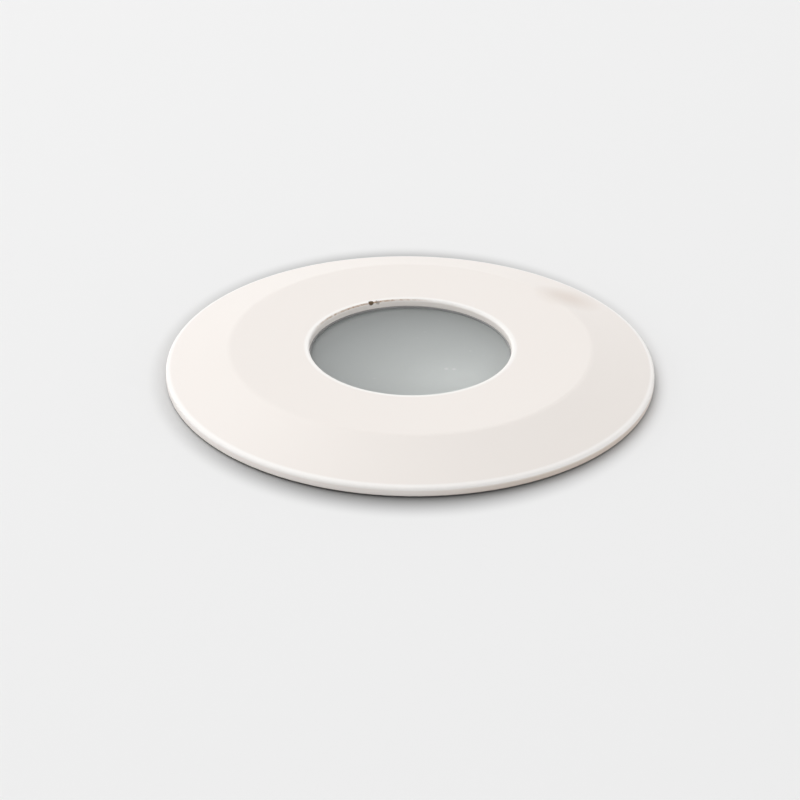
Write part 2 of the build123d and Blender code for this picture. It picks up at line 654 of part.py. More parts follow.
def lamp_body():
    waist_r = LAMP_WAIST_D / 2
    shell = turned((0, LAMP_FRONT_Z), (LAMP_R, LAMP_FRONT_Z), (LAMP_R, LAMP_RIM_Z),
                   (waist_r, LAMP_WAIST_Z), (0, LAMP_WAIST_Z))
    shell = chamfer(shell.edges().group_by(Axis.Z)[-1], LAMP_RIM_CHAMFER)
    shell -= rod(2 * (LAMP_R - LENS_BORDER), LAMP_FRONT_Z - LENS_T, LAMP_FRONT_Z + OVERCUT)
    past_r, past_z = LAMP_R + OVERCUT, LAMP_WAIST_Z - OVERCUT
    groove_outline = make_face(Polyline(
        (LAMP_R - LAMP_GROOVE_DEPTH, LAMP_RIM_Z), (past_r, LAMP_RIM_Z), (past_r, past_z),
        (waist_r - LAMP_GROOVE_DEPTH, past_z), close=True))
    groove = extrude(Plane.XZ * groove_outline, LAMP_GROOVE_W / 2, both=True)
    turns = [360 * i / LAMP_FIN_GROOVES for i in range(LAMP_FIN_GROOVES)]
    return shell - [Rot(0, 0, a) * groove for a in turns]


def lamp_lens():
    """Front optic: a disc with one lenslet in the middle and a ring of them round it."""
    foot_z = LAMP_FRONT_Z - LENS_T
    top_z = LAMP_FRONT_Z - LENSLET_RISE
    half_d = LENSLET_D / 2
    cap_r = (half_d ** 2 + LENSLET_RISE ** 2) / (2 * LENSLET_RISE)
    dome = Pos(0, 0, LAMP_FRONT_Z - cap_r) * Sphere(cap_r)
    cap = dome & rod(LENSLET_D, foot_z, LAMP_FRONT_Z)
    lens = rod(2 * (LAMP_R - LENS_BORDER), foot_z, top_z) + cap
    turns = [360 * i / OUTER_LENSLETS for i in range(OUTER_LENSLETS)]
    return lens + [Pos(*polar(LENSLET_PITCH, a)) * cap for a in turns]


def lamp_base():
    shoulder_r = BASE_SHOULDER_D / 2
    return turned((0, LAMP_WAIST_Z), (shoulder_r, LAMP_WAIST_Z), (BASE_D / 2, BASE_SHOULDER_Z),
                  (BASE_D / 2, LAMP_END_Z), (0, LAMP_END_Z))


def lamp_pins():
    pin = rod(PIN_D, PIN_NECK_Z, LAMP_END_Z, PIN_SPACING / 2)
    pin += chamfer(rod(PIN_HEAD_D, PIN_END_Z, PIN_NECK_Z, PIN_SPACING / 2).edges(), PIN_CHAMFER)
    return [Rot(0, 0, turn) * pin for turn in SIDES.values()]


# Terminals and leads


def pole_places():
    return [POLE_PITCH * (i - (POLES - 1) / 2) for i in range(POLES)]


def grub_places():
    rows = (BLOCK_OFFSET + GRUB_INSET, BLOCK_FAR - GRUB_INSET)
    return [(x, y) for x in pole_places() for y in rows]


def terminal_block():
    body = block(-BLOCK_HALF_W, BLOCK_HALF_W, BLOCK_OFFSET, BLOCK_FAR, BLOCK_FOOT_Z, BLOCK_Z)
    bore_y = (BLOCK_OFFSET - OVERCUT, BLOCK_FAR + OVERCUT)
    body -= [rod_y(POLE_BORE_D, *bore_y, x, POLE_Z) for x in pole_places()]
    access_d = GRUB_HEAD_D + 2 * SCREW_CLEARANCE
    body -= [rod(access_d, BLOCK_FOOT_Z - OVERCUT, POLE_Z, *p) for p in grub_places()]
    fixing_hole_d = FIXING_D + 2 * SCREW_CLEARANCE
    through_z = (BLOCK_FOOT_Z - OVERCUT, BLOCK_Z + OVERCUT)
    return body - [rod(fixing_hole_d, *through_z, *p) for p in standoff_places()]


def terminal_clamps():
    outer_d = POLE_BORE_D - 2 * CLAMP_CLEARANCE
    inner_d = outer_d - 2 * CLAMP_WALL
    y0, y1 = BLOCK_OFFSET + CLAMP_INSET, BLOCK_FAR - CLAMP_INSET
    holes = [rod(GRUB_D + 2 * SCREW_CLEARANCE, BLOCK_FOOT_Z, POLE_Z, *p) for p in grub_places()]
    clamps = []
    for x in pole_places():
        sleeve = rod_y(outer_d, y0, y1, x, POLE_Z)
        sleeve -= rod_y(inner_d, y0 - OVERCUT, y1 + OVERCUT, x, POLE_Z)
        clamps.append(sleeve - holes)
    return clamps


def terminal_screws():
    """Grub screws that press on the leads from below."""
    tip_z = POLE_Z - LEAD_D / 2 - GRUB_GAP
    return [slotted_screw(BLOCK_FOOT_Z + GRUB_HEAD_H, tip_z, *p, GRUB_D, GRUB_HEAD_D, GRUB_HEAD_H)
            for p in grub_places()]


def terminal_fixing_screws():
    tip_z = HOLDER_FOOT_Z - FIXING_COVER - FIXING_TIP_GAP
    return [slotted_screw(BLOCK_FOOT_Z, tip_z, *p, FIXING_D, FIXING_HEAD_D, FIXING_HEAD_H)
            for p in standoff_places()]


def lead(points, bend):
    """Insulated wire along straight runs and arcs."""
    path = FilletPolyline(*points, radius=bend)
    start = path.position_at(0)
    return sweep(Plane(start, z_dir=path.tangent_at(0)) * Circle(LEAD_D / 2), path=path)


def lamp_lead(side):
    """Lead from a holder contact down through the partition and into an outer pole."""
    x = side * POLE_PITCH
    points = [(x, 0, LEAD_TOP_Z), (x, 0, POLE_Z), (x, BLOCK_OFFSET + LEAD_BITE, POLE_Z)]
    return lead(points, LEAD_BEND)


def earth_heading():
    """Direction from the earth screw towards the middle pole."""
    ex, ey = earth_place()
    length = math.hypot(ex, ey)
    return -ex / length, -ey / length


def earth_point(along, z):
    (ex, ey), (ux, uy) = earth_place(), earth_heading()
    return ex + ux * along, ey + uy * along, z


def barrel_d():
    return LEAD_D + 2 * SCREW_CLEARANCE + 2 * BARREL_WALL


def barrel_z():
    return PARTITION_FOOT_Z - barrel_d() / 2


def earth_lug():
    """Ring terminal under the earth screw, with a crimped barrel."""
    ring = rod(LUG_D, PARTITION_FOOT_Z - LUG_T, PARTITION_FOOT_Z)
    tongue = block(0, BARREL_START + BARREL_L / 2, -barrel_d() / 2, barrel_d() / 2,
                   PARTITION_FOOT_Z - LUG_T, PARTITION_FOOT_Z)
    barrel_end = BARREL_START + BARREL_L
    lug = ring + tongue + rod_x(barrel_d(), BARREL_START, barrel_end, 0, barrel_z())
    wire_d = LEAD_D + 2 * SCREW_CLEARANCE
    lug -= rod_x(wire_d, BARREL_START - OVERCUT, barrel_end + OVERCUT, 0, barrel_z())
    hole_z = (PARTITION_FOOT_Z - LUG_T - OVERCUT, PARTITION_FOOT_Z + OVERCUT)
    lug -= rod(SCREW_D + 2 * SCREW_PASS_CLEARANCE, *hole_z)
    heading = math.degrees(math.atan2(earth_heading()[1], earth_heading()[0]))
    return Pos(*earth_place(), 0) * Rot(0, 0, heading) * lug


def earth_screw():
    return slotted_screw(PARTITION_FOOT_Z - LUG_T, HOLDER_FOOT_Z + CAN_WALL / 2, *earth_place())


def earth_lead():
    bend_along = BARREL_START + BARREL_L + EARTH_BEND
    points = [earth_point(BARREL_START + BARREL_INSET, barrel_z()), earth_point(bend_along, barrel_z()),
              (0, BLOCK_OFFSET - LEAD_BEND, POLE_Z), (0, BLOCK_OFFSET + LEAD_BITE, POLE_Z)]
    return lead(points, EARTH_BEND)


# Rear cover and cable gland


def cover_outline():
    """Round cover with a lug at each screw, blended into the circle."""
    outline = Sketch() + Circle(REAR_R)
    for place in cover_screw_places():
        outline += Pos(*place) * Circle(BOSS_D / 2)
    return fillet(outline.vertices(), LUG_BLEND)


def cover_holes():
    hole_d = SCREW_D + 2 * SCREW_PASS_CLEARANCE
    hole_z = (COVER_OUT_Z - OVERCUT, REAR_RIM_Z + OVERCUT)
    return [rod(hole_d, *hole_z, *p) for p in cover_screw_places()]


def rear_gasket():
    sheet = Pos(0, 0, COVER_IN_Z) * extrude(cover_outline(), COVER_GASKET_T)
    return sheet - rod(2 * REAR_IN_R, COVER_IN_Z - OVERCUT, REAR_RIM_Z + OVERCUT) - cover_holes()


def rear_cover():
    plate = Pos(0, 0, COVER_OUT_Z) * extrude(cover_outline(), COVER_T)
    plate = chamfer(plate.edges().group_by(Axis.Z)[0], COVER_CHAMFER)
    spigot_d = 2 * (REAR_IN_R - SPIGOT_CLEARANCE)
    plate += tube(spigot_d, spigot_d - 2 * SPIGOT_WALL, COVER_IN_Z, REAR_RIM_Z + SPIGOT_H)
    plate -= rod(GLAND_D + 2 * GLAND_CLEARANCE, COVER_OUT_Z - OVERCUT, COVER_IN_Z + OVERCUT)
    return plate - cover_holes()


def rear_cover_screws():
    tip_z = REAR_RIM_Z + BOSS_H - 2 * CAN_WALL
    return [slotted_screw(COVER_OUT_Z, tip_z, *p) for p in cover_screw_places()]


def seal_seat_d():
    return CABLE_D + 2 * SEAL_WALL + 2 * SEAL_CLEARANCE


def gland_spigot_d():
    return seal_seat_d() + 2 * GLAND_SPIGOT_WALL


def gland_body():
    body = hexagon(GLAND_FLATS, GLAND_SPIGOT_Z, GLAND_HEX_Z)
    body += rod(GLAND_D, GLAND_HEX_Z, SHANK_TOP_Z)
    body += rod(gland_spigot_d(), GLAND_SPIGOT_FOOT_Z, GLAND_SPIGOT_Z)
    body -= rod(seal_seat_d(), GLAND_SPIGOT_FOOT_Z - OVERCUT, SEAL_Z)
    return body - rod(CABLE_D + 2 * SEAL_CLEARANCE + SEAL_WALL, SEAL_Z - OVERCUT, SHANK_TOP_Z + OVERCUT)


def gland_seal():
    return tube(CABLE_D + 2 * SEAL_WALL, CABLE_D, SEAL_FOOT_Z, SEAL_Z)


def gland_nut():
    bore_d = gland_spigot_d() + 2 * GLAND_NUT_CLEARANCE
    mouth_r = CABLE_D / 2 + GLAND_NUT_MOUTH
    nut = hexagon(GLAND_FLATS, GLAND_NUT_FOOT_Z, GLAND_NUT_Z)
    dome_r = GLAND_FLATS / 2 / math.cos(math.pi / HEX_SIDES) + GLAND_NUT_DOME_START
    dome = turned((0, GLAND_NUT_Z), (dome_r, GLAND_NUT_Z), (dome_r, GLAND_NUT_CONE_Z),
                  (dome_r - GLAND_NUT_DOME, GLAND_NUT_FOOT_Z), (0, GLAND_NUT_FOOT_Z))
    top_z, foot_z = GLAND_NUT_Z + OVERCUT, GLAND_NUT_FOOT_Z - OVERCUT
    inside = turned((0, top_z), (bore_d / 2, top_z), (bore_d / 2, GLAND_NUT_CONE_Z),
                    (mouth_r, GLAND_NUT_CONE_Z), (mouth_r, foot_z), (0, foot_z))
    return (nut & dome) - inside


def gland_washer():
    return tube(GLAND_FLATS, GLAND_D + 2 * GLAND_CLEARANCE, GLAND_HEX_Z, COVER_OUT_Z)


def gland_locknut():
    nut = hexagon(GLAND_FLATS, COVER_IN_Z, LOCKNUT_Z)
    return nut - rod(GLAND_D + 2 * SCREW_CLEARANCE, COVER_IN_Z - OVERCUT, LOCKNUT_Z + OVERCUT)


# Spring clips, modelled about the pivot pin: x points away from the can, y runs along the pin


def at_pivot(piece, turn):
    """Piece moved from its pivot to one side of the can."""
    return Rot(0, 0, turn) * Pos(PIVOT_X, 0, PIVOT_Z) * piece


def clip_bracket():
    """Pressed U bracket: base plate, two ears, and two folded stops that leave room for the coil."""
    back, front = PAD_X - PIVOT_X, BRACKET_X - PIVOT_X
    top, foot = BRACKET_Z - PIVOT_Z, BRACKET_FOOT_Z - PIVOT_Z
    base = block(back, front, -EAR_OUT_Y, EAR_OUT_Y, foot, top)
    stop_y = CLIP_W / 2 - KNUCKLE_W
    stops = [block(back, STOP_REACH, y0, y1, top - BRACKET_T, top)
             for y0, y1 in ((-EAR_OUT_Y, -stop_y), (stop_y, EAR_OUT_Y))]
    corners = [(back, top), (STOP_REACH, top), (EAR_R, 0), (back, -EAR_DROP)]
    ear = Plane.XZ * (make_face(Polyline(*corners, close=True)) + Circle(EAR_R))
    ears = [Pos(0, y, 0) * extrude(ear, BRACKET_T) for y in (-EAR_IN_Y, EAR_OUT_Y)]
    bracket = base + stops + ears
    bracket -= rod_y(2 * KNUCKLE_IN_R, -EAR_OUT_Y - OVERCUT, EAR_OUT_Y + OVERCUT)
    hole_d = RIVET_D + 2 * SCREW_CLEARANCE
    for y in (-RIVET_Y, RIVET_Y):
        bracket -= rod_x(hole_d, back - OVERCUT, front + OVERCUT, y, RIVET_Z - PIVOT_Z)
    return bracket


def clip_rivets(turn):
    """Blind rivets that hold one bracket to its pad."""
    front = BRACKET_X
    rivets = []
    for y in (-RIVET_Y, RIVET_Y):
        head = rod_x(RIVET_HEAD_D, front, front + RIVET_HEAD_T, y, RIVET_Z)
        head = chamfer(head.edges().sort_by(Axis.X)[-1], RIVET_CHAMFER)
        shank = rod_x(RIVET_D, PAD_X - RIVET_BITE + SCREW_CLEARANCE, front, y, RIVET_Z)
        rivets.append(Rot(0, 0, turn) * (head + shank))
    return rivets


def clip_pin():
    """Pivot pin, headed over outside both ears."""
    pin = rod_y(PIVOT_D, -EAR_OUT_Y, EAR_OUT_Y)
    for y0, y1 in ((EAR_OUT_Y, EAR_OUT_Y + PIVOT_HEAD_T), (-EAR_OUT_Y - PIVOT_HEAD_T, -EAR_OUT_Y)):
        pin += rod_y(PIVOT_HEAD_D, y0, y1)
    return pin


def blade_outline(start, grow):
    """Side view of the blade, straight and then bent back at its tip, thickened by grow on both faces."""
    low, high = KNUCKLE_IN_R - grow, KNUCKLE_R + grow
    inner, outer = BEND_R - grow, BEND_R + BLADE_T + grow
    centre = (CLIP_REACH, high - outer)
    turn = math.radians(BEND_DEG)
    lip = CLIP_LIP + grow
    lip_x, lip_z = lip * math.cos(turn), -lip * math.sin(turn)

    def arc_end(radius):
        return centre[0] + radius * math.sin(turn), centre[1] + radius * math.cos(turn)

    outer_end, inner_end = arc_end(outer), arc_end(inner)
    outer_tip = (outer_end[0] + lip_x, outer_end[1] + lip_z)
    inner_tip = (inner_end[0] + lip_x, inner_end[1] + lip_z)
    return make_face([
        Line((start, high), (CLIP_REACH, high)), CenterArc(centre, outer, 90, -BEND_DEG),
        Line(outer_end, outer_tip), Line(outer_tip, inner_tip), Line(inner_tip, inner_end),
        CenterArc(centre, inner, 90 - BEND_DEG, BEND_DEG), Line((CLIP_REACH, low), (start, low)),
        Line((start, low), (start, high))])


def blade():
    """Sprung blade, lying along x: two rolled knuckles, a notch for the coil, and a pressed bead."""
    arm = extrude(Plane.XZ * blade_outline(0, 0), CLIP_W / 2, both=True)
    notch_half = CLIP_W / 2 - KNUCKLE_W
    arm -= block(-KNUCKLE_R, CLIP_NOTCH, -notch_half, notch_half, 0, 2 * KNUCKLE_R)
    for side in (-1, 1):
        arm += rod_y(2 * KNUCKLE_R, side * notch_half, side * CLIP_W / 2)
    bead_z = KNUCKLE_R + BEAD_RISE - BEAD_D / 2
    bead_start, bead_end = CLIP_NOTCH + BEAD_MARGIN, CLIP_REACH - BEAD_MARGIN
    bead = rod_x(BEAD_D, bead_start, bead_end, 0, bead_z)
    bead += [Pos(x, 0, bead_z) * Sphere(BEAD_D / 2) for x in (bead_start, bead_end)]
    arm += bead & block(0, CLIP_REACH, -BEAD_D, BEAD_D, KNUCKLE_IN_R + BLADE_T / 4, 3 * KNUCKLE_R)
    return arm - rod_y(2 * KNUCKLE_IN_R, -CLIP_W, CLIP_W)


def clip_arm():
    return Rot(0, -CLIP_REST_DEG, 0) * blade()


def clip_tip():
    """Soft sleeve pushed over the bent tip of the blade."""
    outline = Plane.XZ * blade_outline(CLIP_REACH - PAD_COVER, PAD_T)
    sleeve = extrude(outline, CLIP_W / 2 + PAD_T, both=True)
    return Rot(0, -CLIP_REST_DEG, 0) * (sleeve - blade())


def coil_point(angle, y):
    return Vector(COIL_MEAN_R * math.cos(angle), y, COIL_MEAN_R * math.sin(angle))


def coil_heading(angle):
    """Direction of the wire where it passes an angle, winding clockwise and towards +y."""
    rise = (WIRE_D + COIL_GAP) / (2 * math.pi)
    return Vector(COIL_MEAN_R * math.sin(angle), rise, -COIL_MEAN_R * math.cos(angle)).normalized()


def tangent_angle(x, z, side):
    """Angle at which a straight leg from (x, z) touches the coil's middle line."""
    return math.atan2(z, x) + side * math.acos(COIL_MEAN_R / math.hypot(x, z))


def biarc(p0, t0, p1, t1):
    """Two arcs from p0 to p1 that leave along t0 and arrive along t1."""
    span = p1 - p0
    total = t0 + t1
    a = 2 * (t0.dot(t1) - 1)
    b = -2 * span.dot(total)
    c = span.dot(span)
    reach = (-b - math.sqrt(b * b - 4 * a * c)) / (2 * a)
    first, second = p0 + t0 * reach, p1 - t1 * reach
    middle = (first + second) * 0.5
    return [TangentArc(p0, middle, tangent=t0), TangentArc(middle, p1, tangent=second - first)]


def spring_path():
    """Middle line of a torsion spring: a leg on the bracket, the coil, and a leg under the blade."""
    back_x = BRACKET_X - PIVOT_X + WIRE_D / 2 + LEG_TOUCH
    start = tangent_angle(back_x, -LEG_BASE, -1)
    under = KNUCKLE_IN_R - WIRE_D / 2 - LEG_TOUCH
    end = tangent_angle(CLIP_NOTCH, under, 1) + REST
    sweep_angle = 2 * math.pi * COIL_TURNS + (start - end) % (2 * math.pi)
    pitch = WIRE_D + COIL_GAP
    length_y = pitch * sweep_angle / (2 * math.pi)
    steps = math.ceil(sweep_angle / (math.pi / 2))
    angles = [start - sweep_angle * i / steps for i in range(steps + 1)]
    places = [-length_y / 2 + length_y * i / steps for i in range(steps + 1)]
    knots = [coil_point(a, y) for a, y in zip(angles, places)]
    headings = [coil_heading(a) for a in angles]
    base_leg = math.sqrt(back_x ** 2 + LEG_BASE ** 2 - COIL_MEAN_R ** 2)
    arm_leg = math.sqrt(CLIP_NOTCH ** 2 + under ** 2 - COIL_MEAN_R ** 2) + LEG_UNDER
    edges = [Line(knots[0] - headings[0] * base_leg, knots[0])]
    for i in range(steps):
        edges += biarc(knots[i], headings[i], knots[i + 1], headings[i + 1])
    edges.append(Line(knots[-1], knots[-1] + headings[-1] * arm_leg))
    return Wire(edges)


def clip_spring():
    path = spring_path()
    return sweep(Plane(path.position_at(0), z_dir=path.tangent_at(0)) * Circle(WIRE_D / 2), path=path)


def spring_self_gap():
    """Least gap between points of the wire that are at least half a turn apart along it."""
    path = spring_path()
    count = 400
    points = [path.position_at(i / count) for i in range(count + 1)]
    apart = math.pi * COIL_MEAN_R
    skip = math.ceil(apart / path.length * count)
    pairs = [(i, j) for i in range(count) for j in range(i + skip, count + 1)]
    return min((points[i] - points[j]).length for i, j in pairs) - WIRE_D


def make_nodes():
    nodes = {
        "trim_ring": trim_ring(),
        "front_glass": front_glass(),
        "glass_gasket": glass_gasket(),
        "glass_retaining_ring": glass_retaining_ring(),
        "trim_o_ring": trim_o_ring(),
        "mounting_flange": mounting_flange(),
        "mounting_flange_screws": mounting_flange_screws(),
        "locating_collar": locating_collar(),
        "flange_gasket": flange_gasket(),
        "housing": housing(),
        "lamp_body": lamp_body(),
        "lamp_lens": lamp_lens(),
        "lamp_base": lamp_base(),
        "lamp_pins": lamp_pins(),
        "lamp_holder": lamp_holder(),
        "lamp_holder_contacts": lamp_holder_contacts(),
        "lamp_holder_screws": lamp_holder_screws(),
        "live_lead": lamp_lead(-1),
        "neutral_lead": lamp_lead(1),
        "terminal_block": terminal_block(),
        "terminal_clamps": terminal_clamps(),
        "terminal_screws": terminal_screws(),
        "terminal_fixing_screws": terminal_fixing_screws(),
        "earth_lead": earth_lead(),
        "earth_lug": earth_lug(),
        "earth_screw": earth_screw(),
        "rear_gasket": rear_gasket(),
        "rear_cover": rear_cover(),
        "rear_cover_screws": rear_cover_screws(),
        "gland_body": gland_body(),
        "gland_washer": gland_washer(),
        "gland_locknut": gland_locknut(),
        "gland_seal": gland_seal(),
        "gland_nut": gland_nut(),
    }
    for side, turn in SIDES.items():
        nodes[f"clip_bracket_{side}"] = at_pivot(clip_bracket(), turn)
        nodes[f"clip_rivets_{side}"] = clip_rivets(turn)
        nodes[f"clip_pin_{side}"] = at_pivot(clip_pin(), turn)
        nodes[f"clip_spring_{side}"] = at_pivot(clip_spring(), turn)
        nodes[f"clip_arm_{side}"] = at_pivot(clip_arm(), turn)
        nodes[f"clip_tip_{side}"] = at_pivot(clip_tip(), turn)
    return nodes


def main():
    os.makedirs("parts", exist_ok=True)
    print(f"least gap of a clip spring to itself: {spring_self_gap():.3f} mm")
    for name, shape in make_nodes().items():
        pieces = shape if isinstance(shape, list) else [shape]
        solids = [s for piece in pieces for s in piece.solids()]
        export_step(solids[0] if len(solids) == 1 else Compound(solids), f"parts/{name}.step")


main()
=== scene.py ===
import json
import math
from collections import namedtuple

import bmesh
import bpy
from mathutils import Matrix, Vector


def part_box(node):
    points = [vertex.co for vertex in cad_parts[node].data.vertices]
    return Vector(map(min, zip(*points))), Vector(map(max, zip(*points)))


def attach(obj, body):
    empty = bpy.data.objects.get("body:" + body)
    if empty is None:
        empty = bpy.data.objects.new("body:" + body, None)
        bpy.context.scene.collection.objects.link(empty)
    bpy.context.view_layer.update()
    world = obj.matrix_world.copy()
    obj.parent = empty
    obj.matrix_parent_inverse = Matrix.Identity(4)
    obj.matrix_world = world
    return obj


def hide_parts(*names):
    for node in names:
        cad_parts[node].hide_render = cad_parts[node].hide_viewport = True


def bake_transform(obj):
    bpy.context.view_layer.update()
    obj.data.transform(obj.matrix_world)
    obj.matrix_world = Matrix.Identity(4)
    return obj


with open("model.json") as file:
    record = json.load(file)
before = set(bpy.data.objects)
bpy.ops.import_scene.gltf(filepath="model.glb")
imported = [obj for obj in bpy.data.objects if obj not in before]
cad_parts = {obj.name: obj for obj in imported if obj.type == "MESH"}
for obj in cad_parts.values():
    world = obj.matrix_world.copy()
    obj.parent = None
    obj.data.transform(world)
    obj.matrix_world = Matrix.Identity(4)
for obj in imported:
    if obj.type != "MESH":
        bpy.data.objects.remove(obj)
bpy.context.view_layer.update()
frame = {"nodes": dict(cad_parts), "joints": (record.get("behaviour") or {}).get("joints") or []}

# Weatherproof recessed light, let into a pale surface and seen from above. Lengths are metres and
# angles degrees. The Z axis is the axis of the round trim, and z = 0 is the mounting surface.

MM = 0.001


def srgb(red, green, blue):
    """Linear colour of three 8-bit screen values."""
    def linear(value):
        share = value / 255
        return share / 12.92 if share <= 0.04045 else ((share + 0.055) / 1.055) ** 2.4
    return (linear(red), linear(green), linear(blue), 1.0)


def grey(value, tint=(1.0, 1.0, 1.0)):
    """Linear grey, with a tint that scales its red, green and blue."""
    return (value * tint[0], value * tint[1], value * tint[2], 1.0)


# View of the photograph, which is 800 pixels square: the trim's axis meets the surface at AXIS_PX
FRAME_PX = 800
AXIS_PX = (410.1, 374.0)
PX_PER_METRE = 5412
VIEW_ELEVATION = 28.93
VIEW_ROLL = 0.65
LENS_MM = 150
SENSOR_MM = 36

# Studio light: each round soft lamp gives its share of the light on a flat surface and the sky gives the
# rest of LIGHT_LEVEL; at a level of 1 a colour renders as it is written
LIGHT_LEVEL = 0.975
LAMPS = {
    "key": {"share": 0.37, "azimuth": 138, "elevation": 54, "distance": 3.0, "diameter": 2.4},
    "top": {"share": 0.175, "azimuth": 270, "elevation": 86, "distance": 2.2, "diameter": 0.8},
}

# Sky: the ring between the horizon and HORIZON_TOP gives HORIZON_SHARE of its light, UNDER_LEVEL comes from
# below, and where the sky itself is seen it is PALE
HORIZON_SHARE = 0.74
HORIZON_TOP = 30
HORIZON_BLUR = 0.12
UNDER_LEVEL = 0.8
PALE = 0.86

# Floor: a wide disc round the cut-out, with a ring of points at MIDDLE_RING times the cut-out's radius
FLOOR_TONE = 0.885
FLOOR_R = 6.0
MIDDLE_RING = 3
CUTOUT_CLEARANCE = 1.0 * MM
FLOOR_SEGMENTS = 180

# Soft shade on the floor close round the trim: an ellipsoid that goes with the trim, wider before and behind
# it, so that the shade fades when the trim is lifted. At SHADE_START of the ellipsoid's size the shade is
# full, and at SHADE_END it is gone.
SHADE_MIDDLE = (-0.3 * MM, 0.4 * MM, 0.0)
SHADE_ACROSS = 50.0 * MM
SHADE_ALONG = 54.5 * MM
SHADE_LIFT = 10.0 * MM
SHADE_START = 0.80
SHADE_END = 0.97
SHADE_LEVEL = 0.22

# Torsion spring of a clip: leg on the bracket, coil round the pin, leg under the blade
WIRE_D = 0.8 * MM
COIL_MEAN_R = 2.1 * MM
COIL_GAP = 0.5 * MM
COIL_TURNS = 4
LEG_BASE = 6.5 * MM
LEG_BACK = 2.75 * MM
LEG_ARM = 8.5 * MM
LEG_UNDER = 2.0 * MM
LEG_RISE = 0.6 * MM
CLIP_REST = 50
WIRE_SIDES = 16
STEPS_PER_TURN = 40
LEG_STEPS = 8

# Domed end of a wire: rings as (distance in from the end, size), both in radii of the wire
WIRE_END = ((0.0, 0.55), (0.18, 0.88), (0.30, 1.0))

# Dark tray in the lamp's lens, with an upright edge
TRAY_INSET = 0.12 * MM
TRAY_T = 0.2 * MM
TRAY_EDGE = 0.3 * MM
TRAY_H = 1.1 * MM
TRAY_SEGMENTS = 120

# Light-emitting chips under the lenslets, set a little into the tray: their middles lie CHIP_RISE above it
CHIP_SIZE = 2.2 * MM
CHIP_T = 0.3 * MM
CHIP_RISE = 0.1 * MM
CHIP_BEVEL = 0.1 * MM
CHIP_BEVEL_STEPS = 2
LENSLET_PITCH = 12.0 * MM
OUTER_LENSLETS = 6

# Painted highlights: whiter colour on the edges of the opening and of the rim, in two bands: their widths,
# the share of them at which the highlight is full, and where it begins and is full, as drops from the face
# and as heights
OPENING_R = 18.6 * MM
OPENING_ROUND = 0.5 * MM
OPENING_HIGHLIGHT = 1.15 * MM
OPENING_HIGHLIGHT_DROP = (OPENING_ROUND, 0.15 * MM)
RIM_BAND = 1.0 * MM
RIM_HIGHLIGHT_Z = (1.25 * MM, 1.55 * MM)
BAND_FULL = 0.6

# Marks and painted shade on the paint: a faint darker, warmer patch on the bevel, painted shade on the lower
# part of the rim's wall, a brown line along the edge of the opening, and chips there as (degrees, radius,
# strength). The painted shade and the line fade between two cosines of the angle from their middle.
DARK_PATCH = (29.8 * MM, 22.8 * MM, 4.3 * MM)
DARK_PATCH_R = 7.0 * MM
DARK_PATCH_CORE = 0.2
DARK_PATCH_STRENGTH = 0.75
RIM_SHADE_Z = (1.6 * MM, 1.1 * MM)
RIM_SHADE_DEGREES = -45
RIM_SHADE_FADE = (0.72, 0.97)
RIM_SHADE_STRENGTH = 0.85
BROWN_LINE_DEGREES = 120
BROWN_LINE_FADE = (0.72, 0.99)
BROWN_LINE_STRENGTH = 0.9
BROWN_LINE_BAND = 0.24 * MM
BROWN_LINE_CORE = 0.4
PAINT_CHIPS = ((113.8, 0.50 * MM, 1.0), (109.3, 0.42 * MM, 0.5))
CHIP_OUTLINE = (-0.05 * MM, 0.1 * MM)
RAGGED_SCALE = 1800

# Front glass: painted light and shade, lightest at one place, how far that fades, and two light marks with
# their radius
GLASS_LIGHT_SPOT = (9.4 * MM, -9.5 * MM, 4.2 * MM)
GLASS_LIGHT_FADE = 27.5 * MM
GLASS_LIGHT_CORE = 0.08
GLASS_MARKS = ((6.6 * MM, -5.6 * MM, 4.2 * MM), (8.0 * MM, -5.7 * MM, 4.2 * MM))
MARK_R = 0.5 * MM
MARK_CORE = 0.3


# Node building


def connect(tree, node, feed):
    """Set sockets of a node, each to a value or to another node's output."""
    for socket, value in feed.items():
        if isinstance(value, bpy.types.NodeSocket):
            tree.links.new(value, node.inputs[socket])
        else:
            node.inputs[socket].default_value = value


def add(tree, kind, feed=None, **settings):
    """New node with its settings and what its sockets are fed with."""
    made = tree.nodes.new(kind)
    for name, value in settings.items():
        setattr(made, name, value)
    connect(tree, made, feed or {})
    return made


def math_node(tree, operation, *values):
    return add(tree, "ShaderNodeMath", dict(enumerate(values)), operation=operation).outputs[0]


def vector_node(tree, operation, *values):
    """Result of a vector operation, which is a number for a length, a distance or a dot product."""
    made = add(tree, "ShaderNodeVectorMath", dict(enumerate(values)), operation=operation)
    return made.outputs["Value" if operation in ("LENGTH", "DISTANCE", "DOT_PRODUCT") else "Vector"]


def spread(tree, value, low, high, to_low=0.0, to_high=1.0, **settings):
    """Value moved from one range to another and held at its ends."""
    return add(tree, "ShaderNodeMapRange", {
        "Value": value, "From Min": low, "From Max": high, "To Min": to_low, "To Max": to_high,
    }, **settings).outputs[0]


def mixed(tree, mask, first, second):
    """Colour that goes from the first to the second with a mask."""
    return add(tree, "ShaderNodeMix", {0: mask, 6: first, 7: second}, data_type="RGBA").outputs[2]


def noise(tree, place, scale, **more):
    """Soft clouds, as a value about 0.5; more sets other sockets of the texture."""
    return add(tree, "ShaderNodeTexNoise", {"Vector": place, "Scale": scale, **more}).outputs["Fac"]


def cells(tree, place, scale):
    """Distance from the middle of the nearest of many small cells."""
    return add(tree, "ShaderNodeTexVoronoi", {"Vector": place, "Scale": scale}).outputs["Distance"]


def object_place(tree):
    return tree.nodes.new("ShaderNodeTexCoord").outputs["Object"]


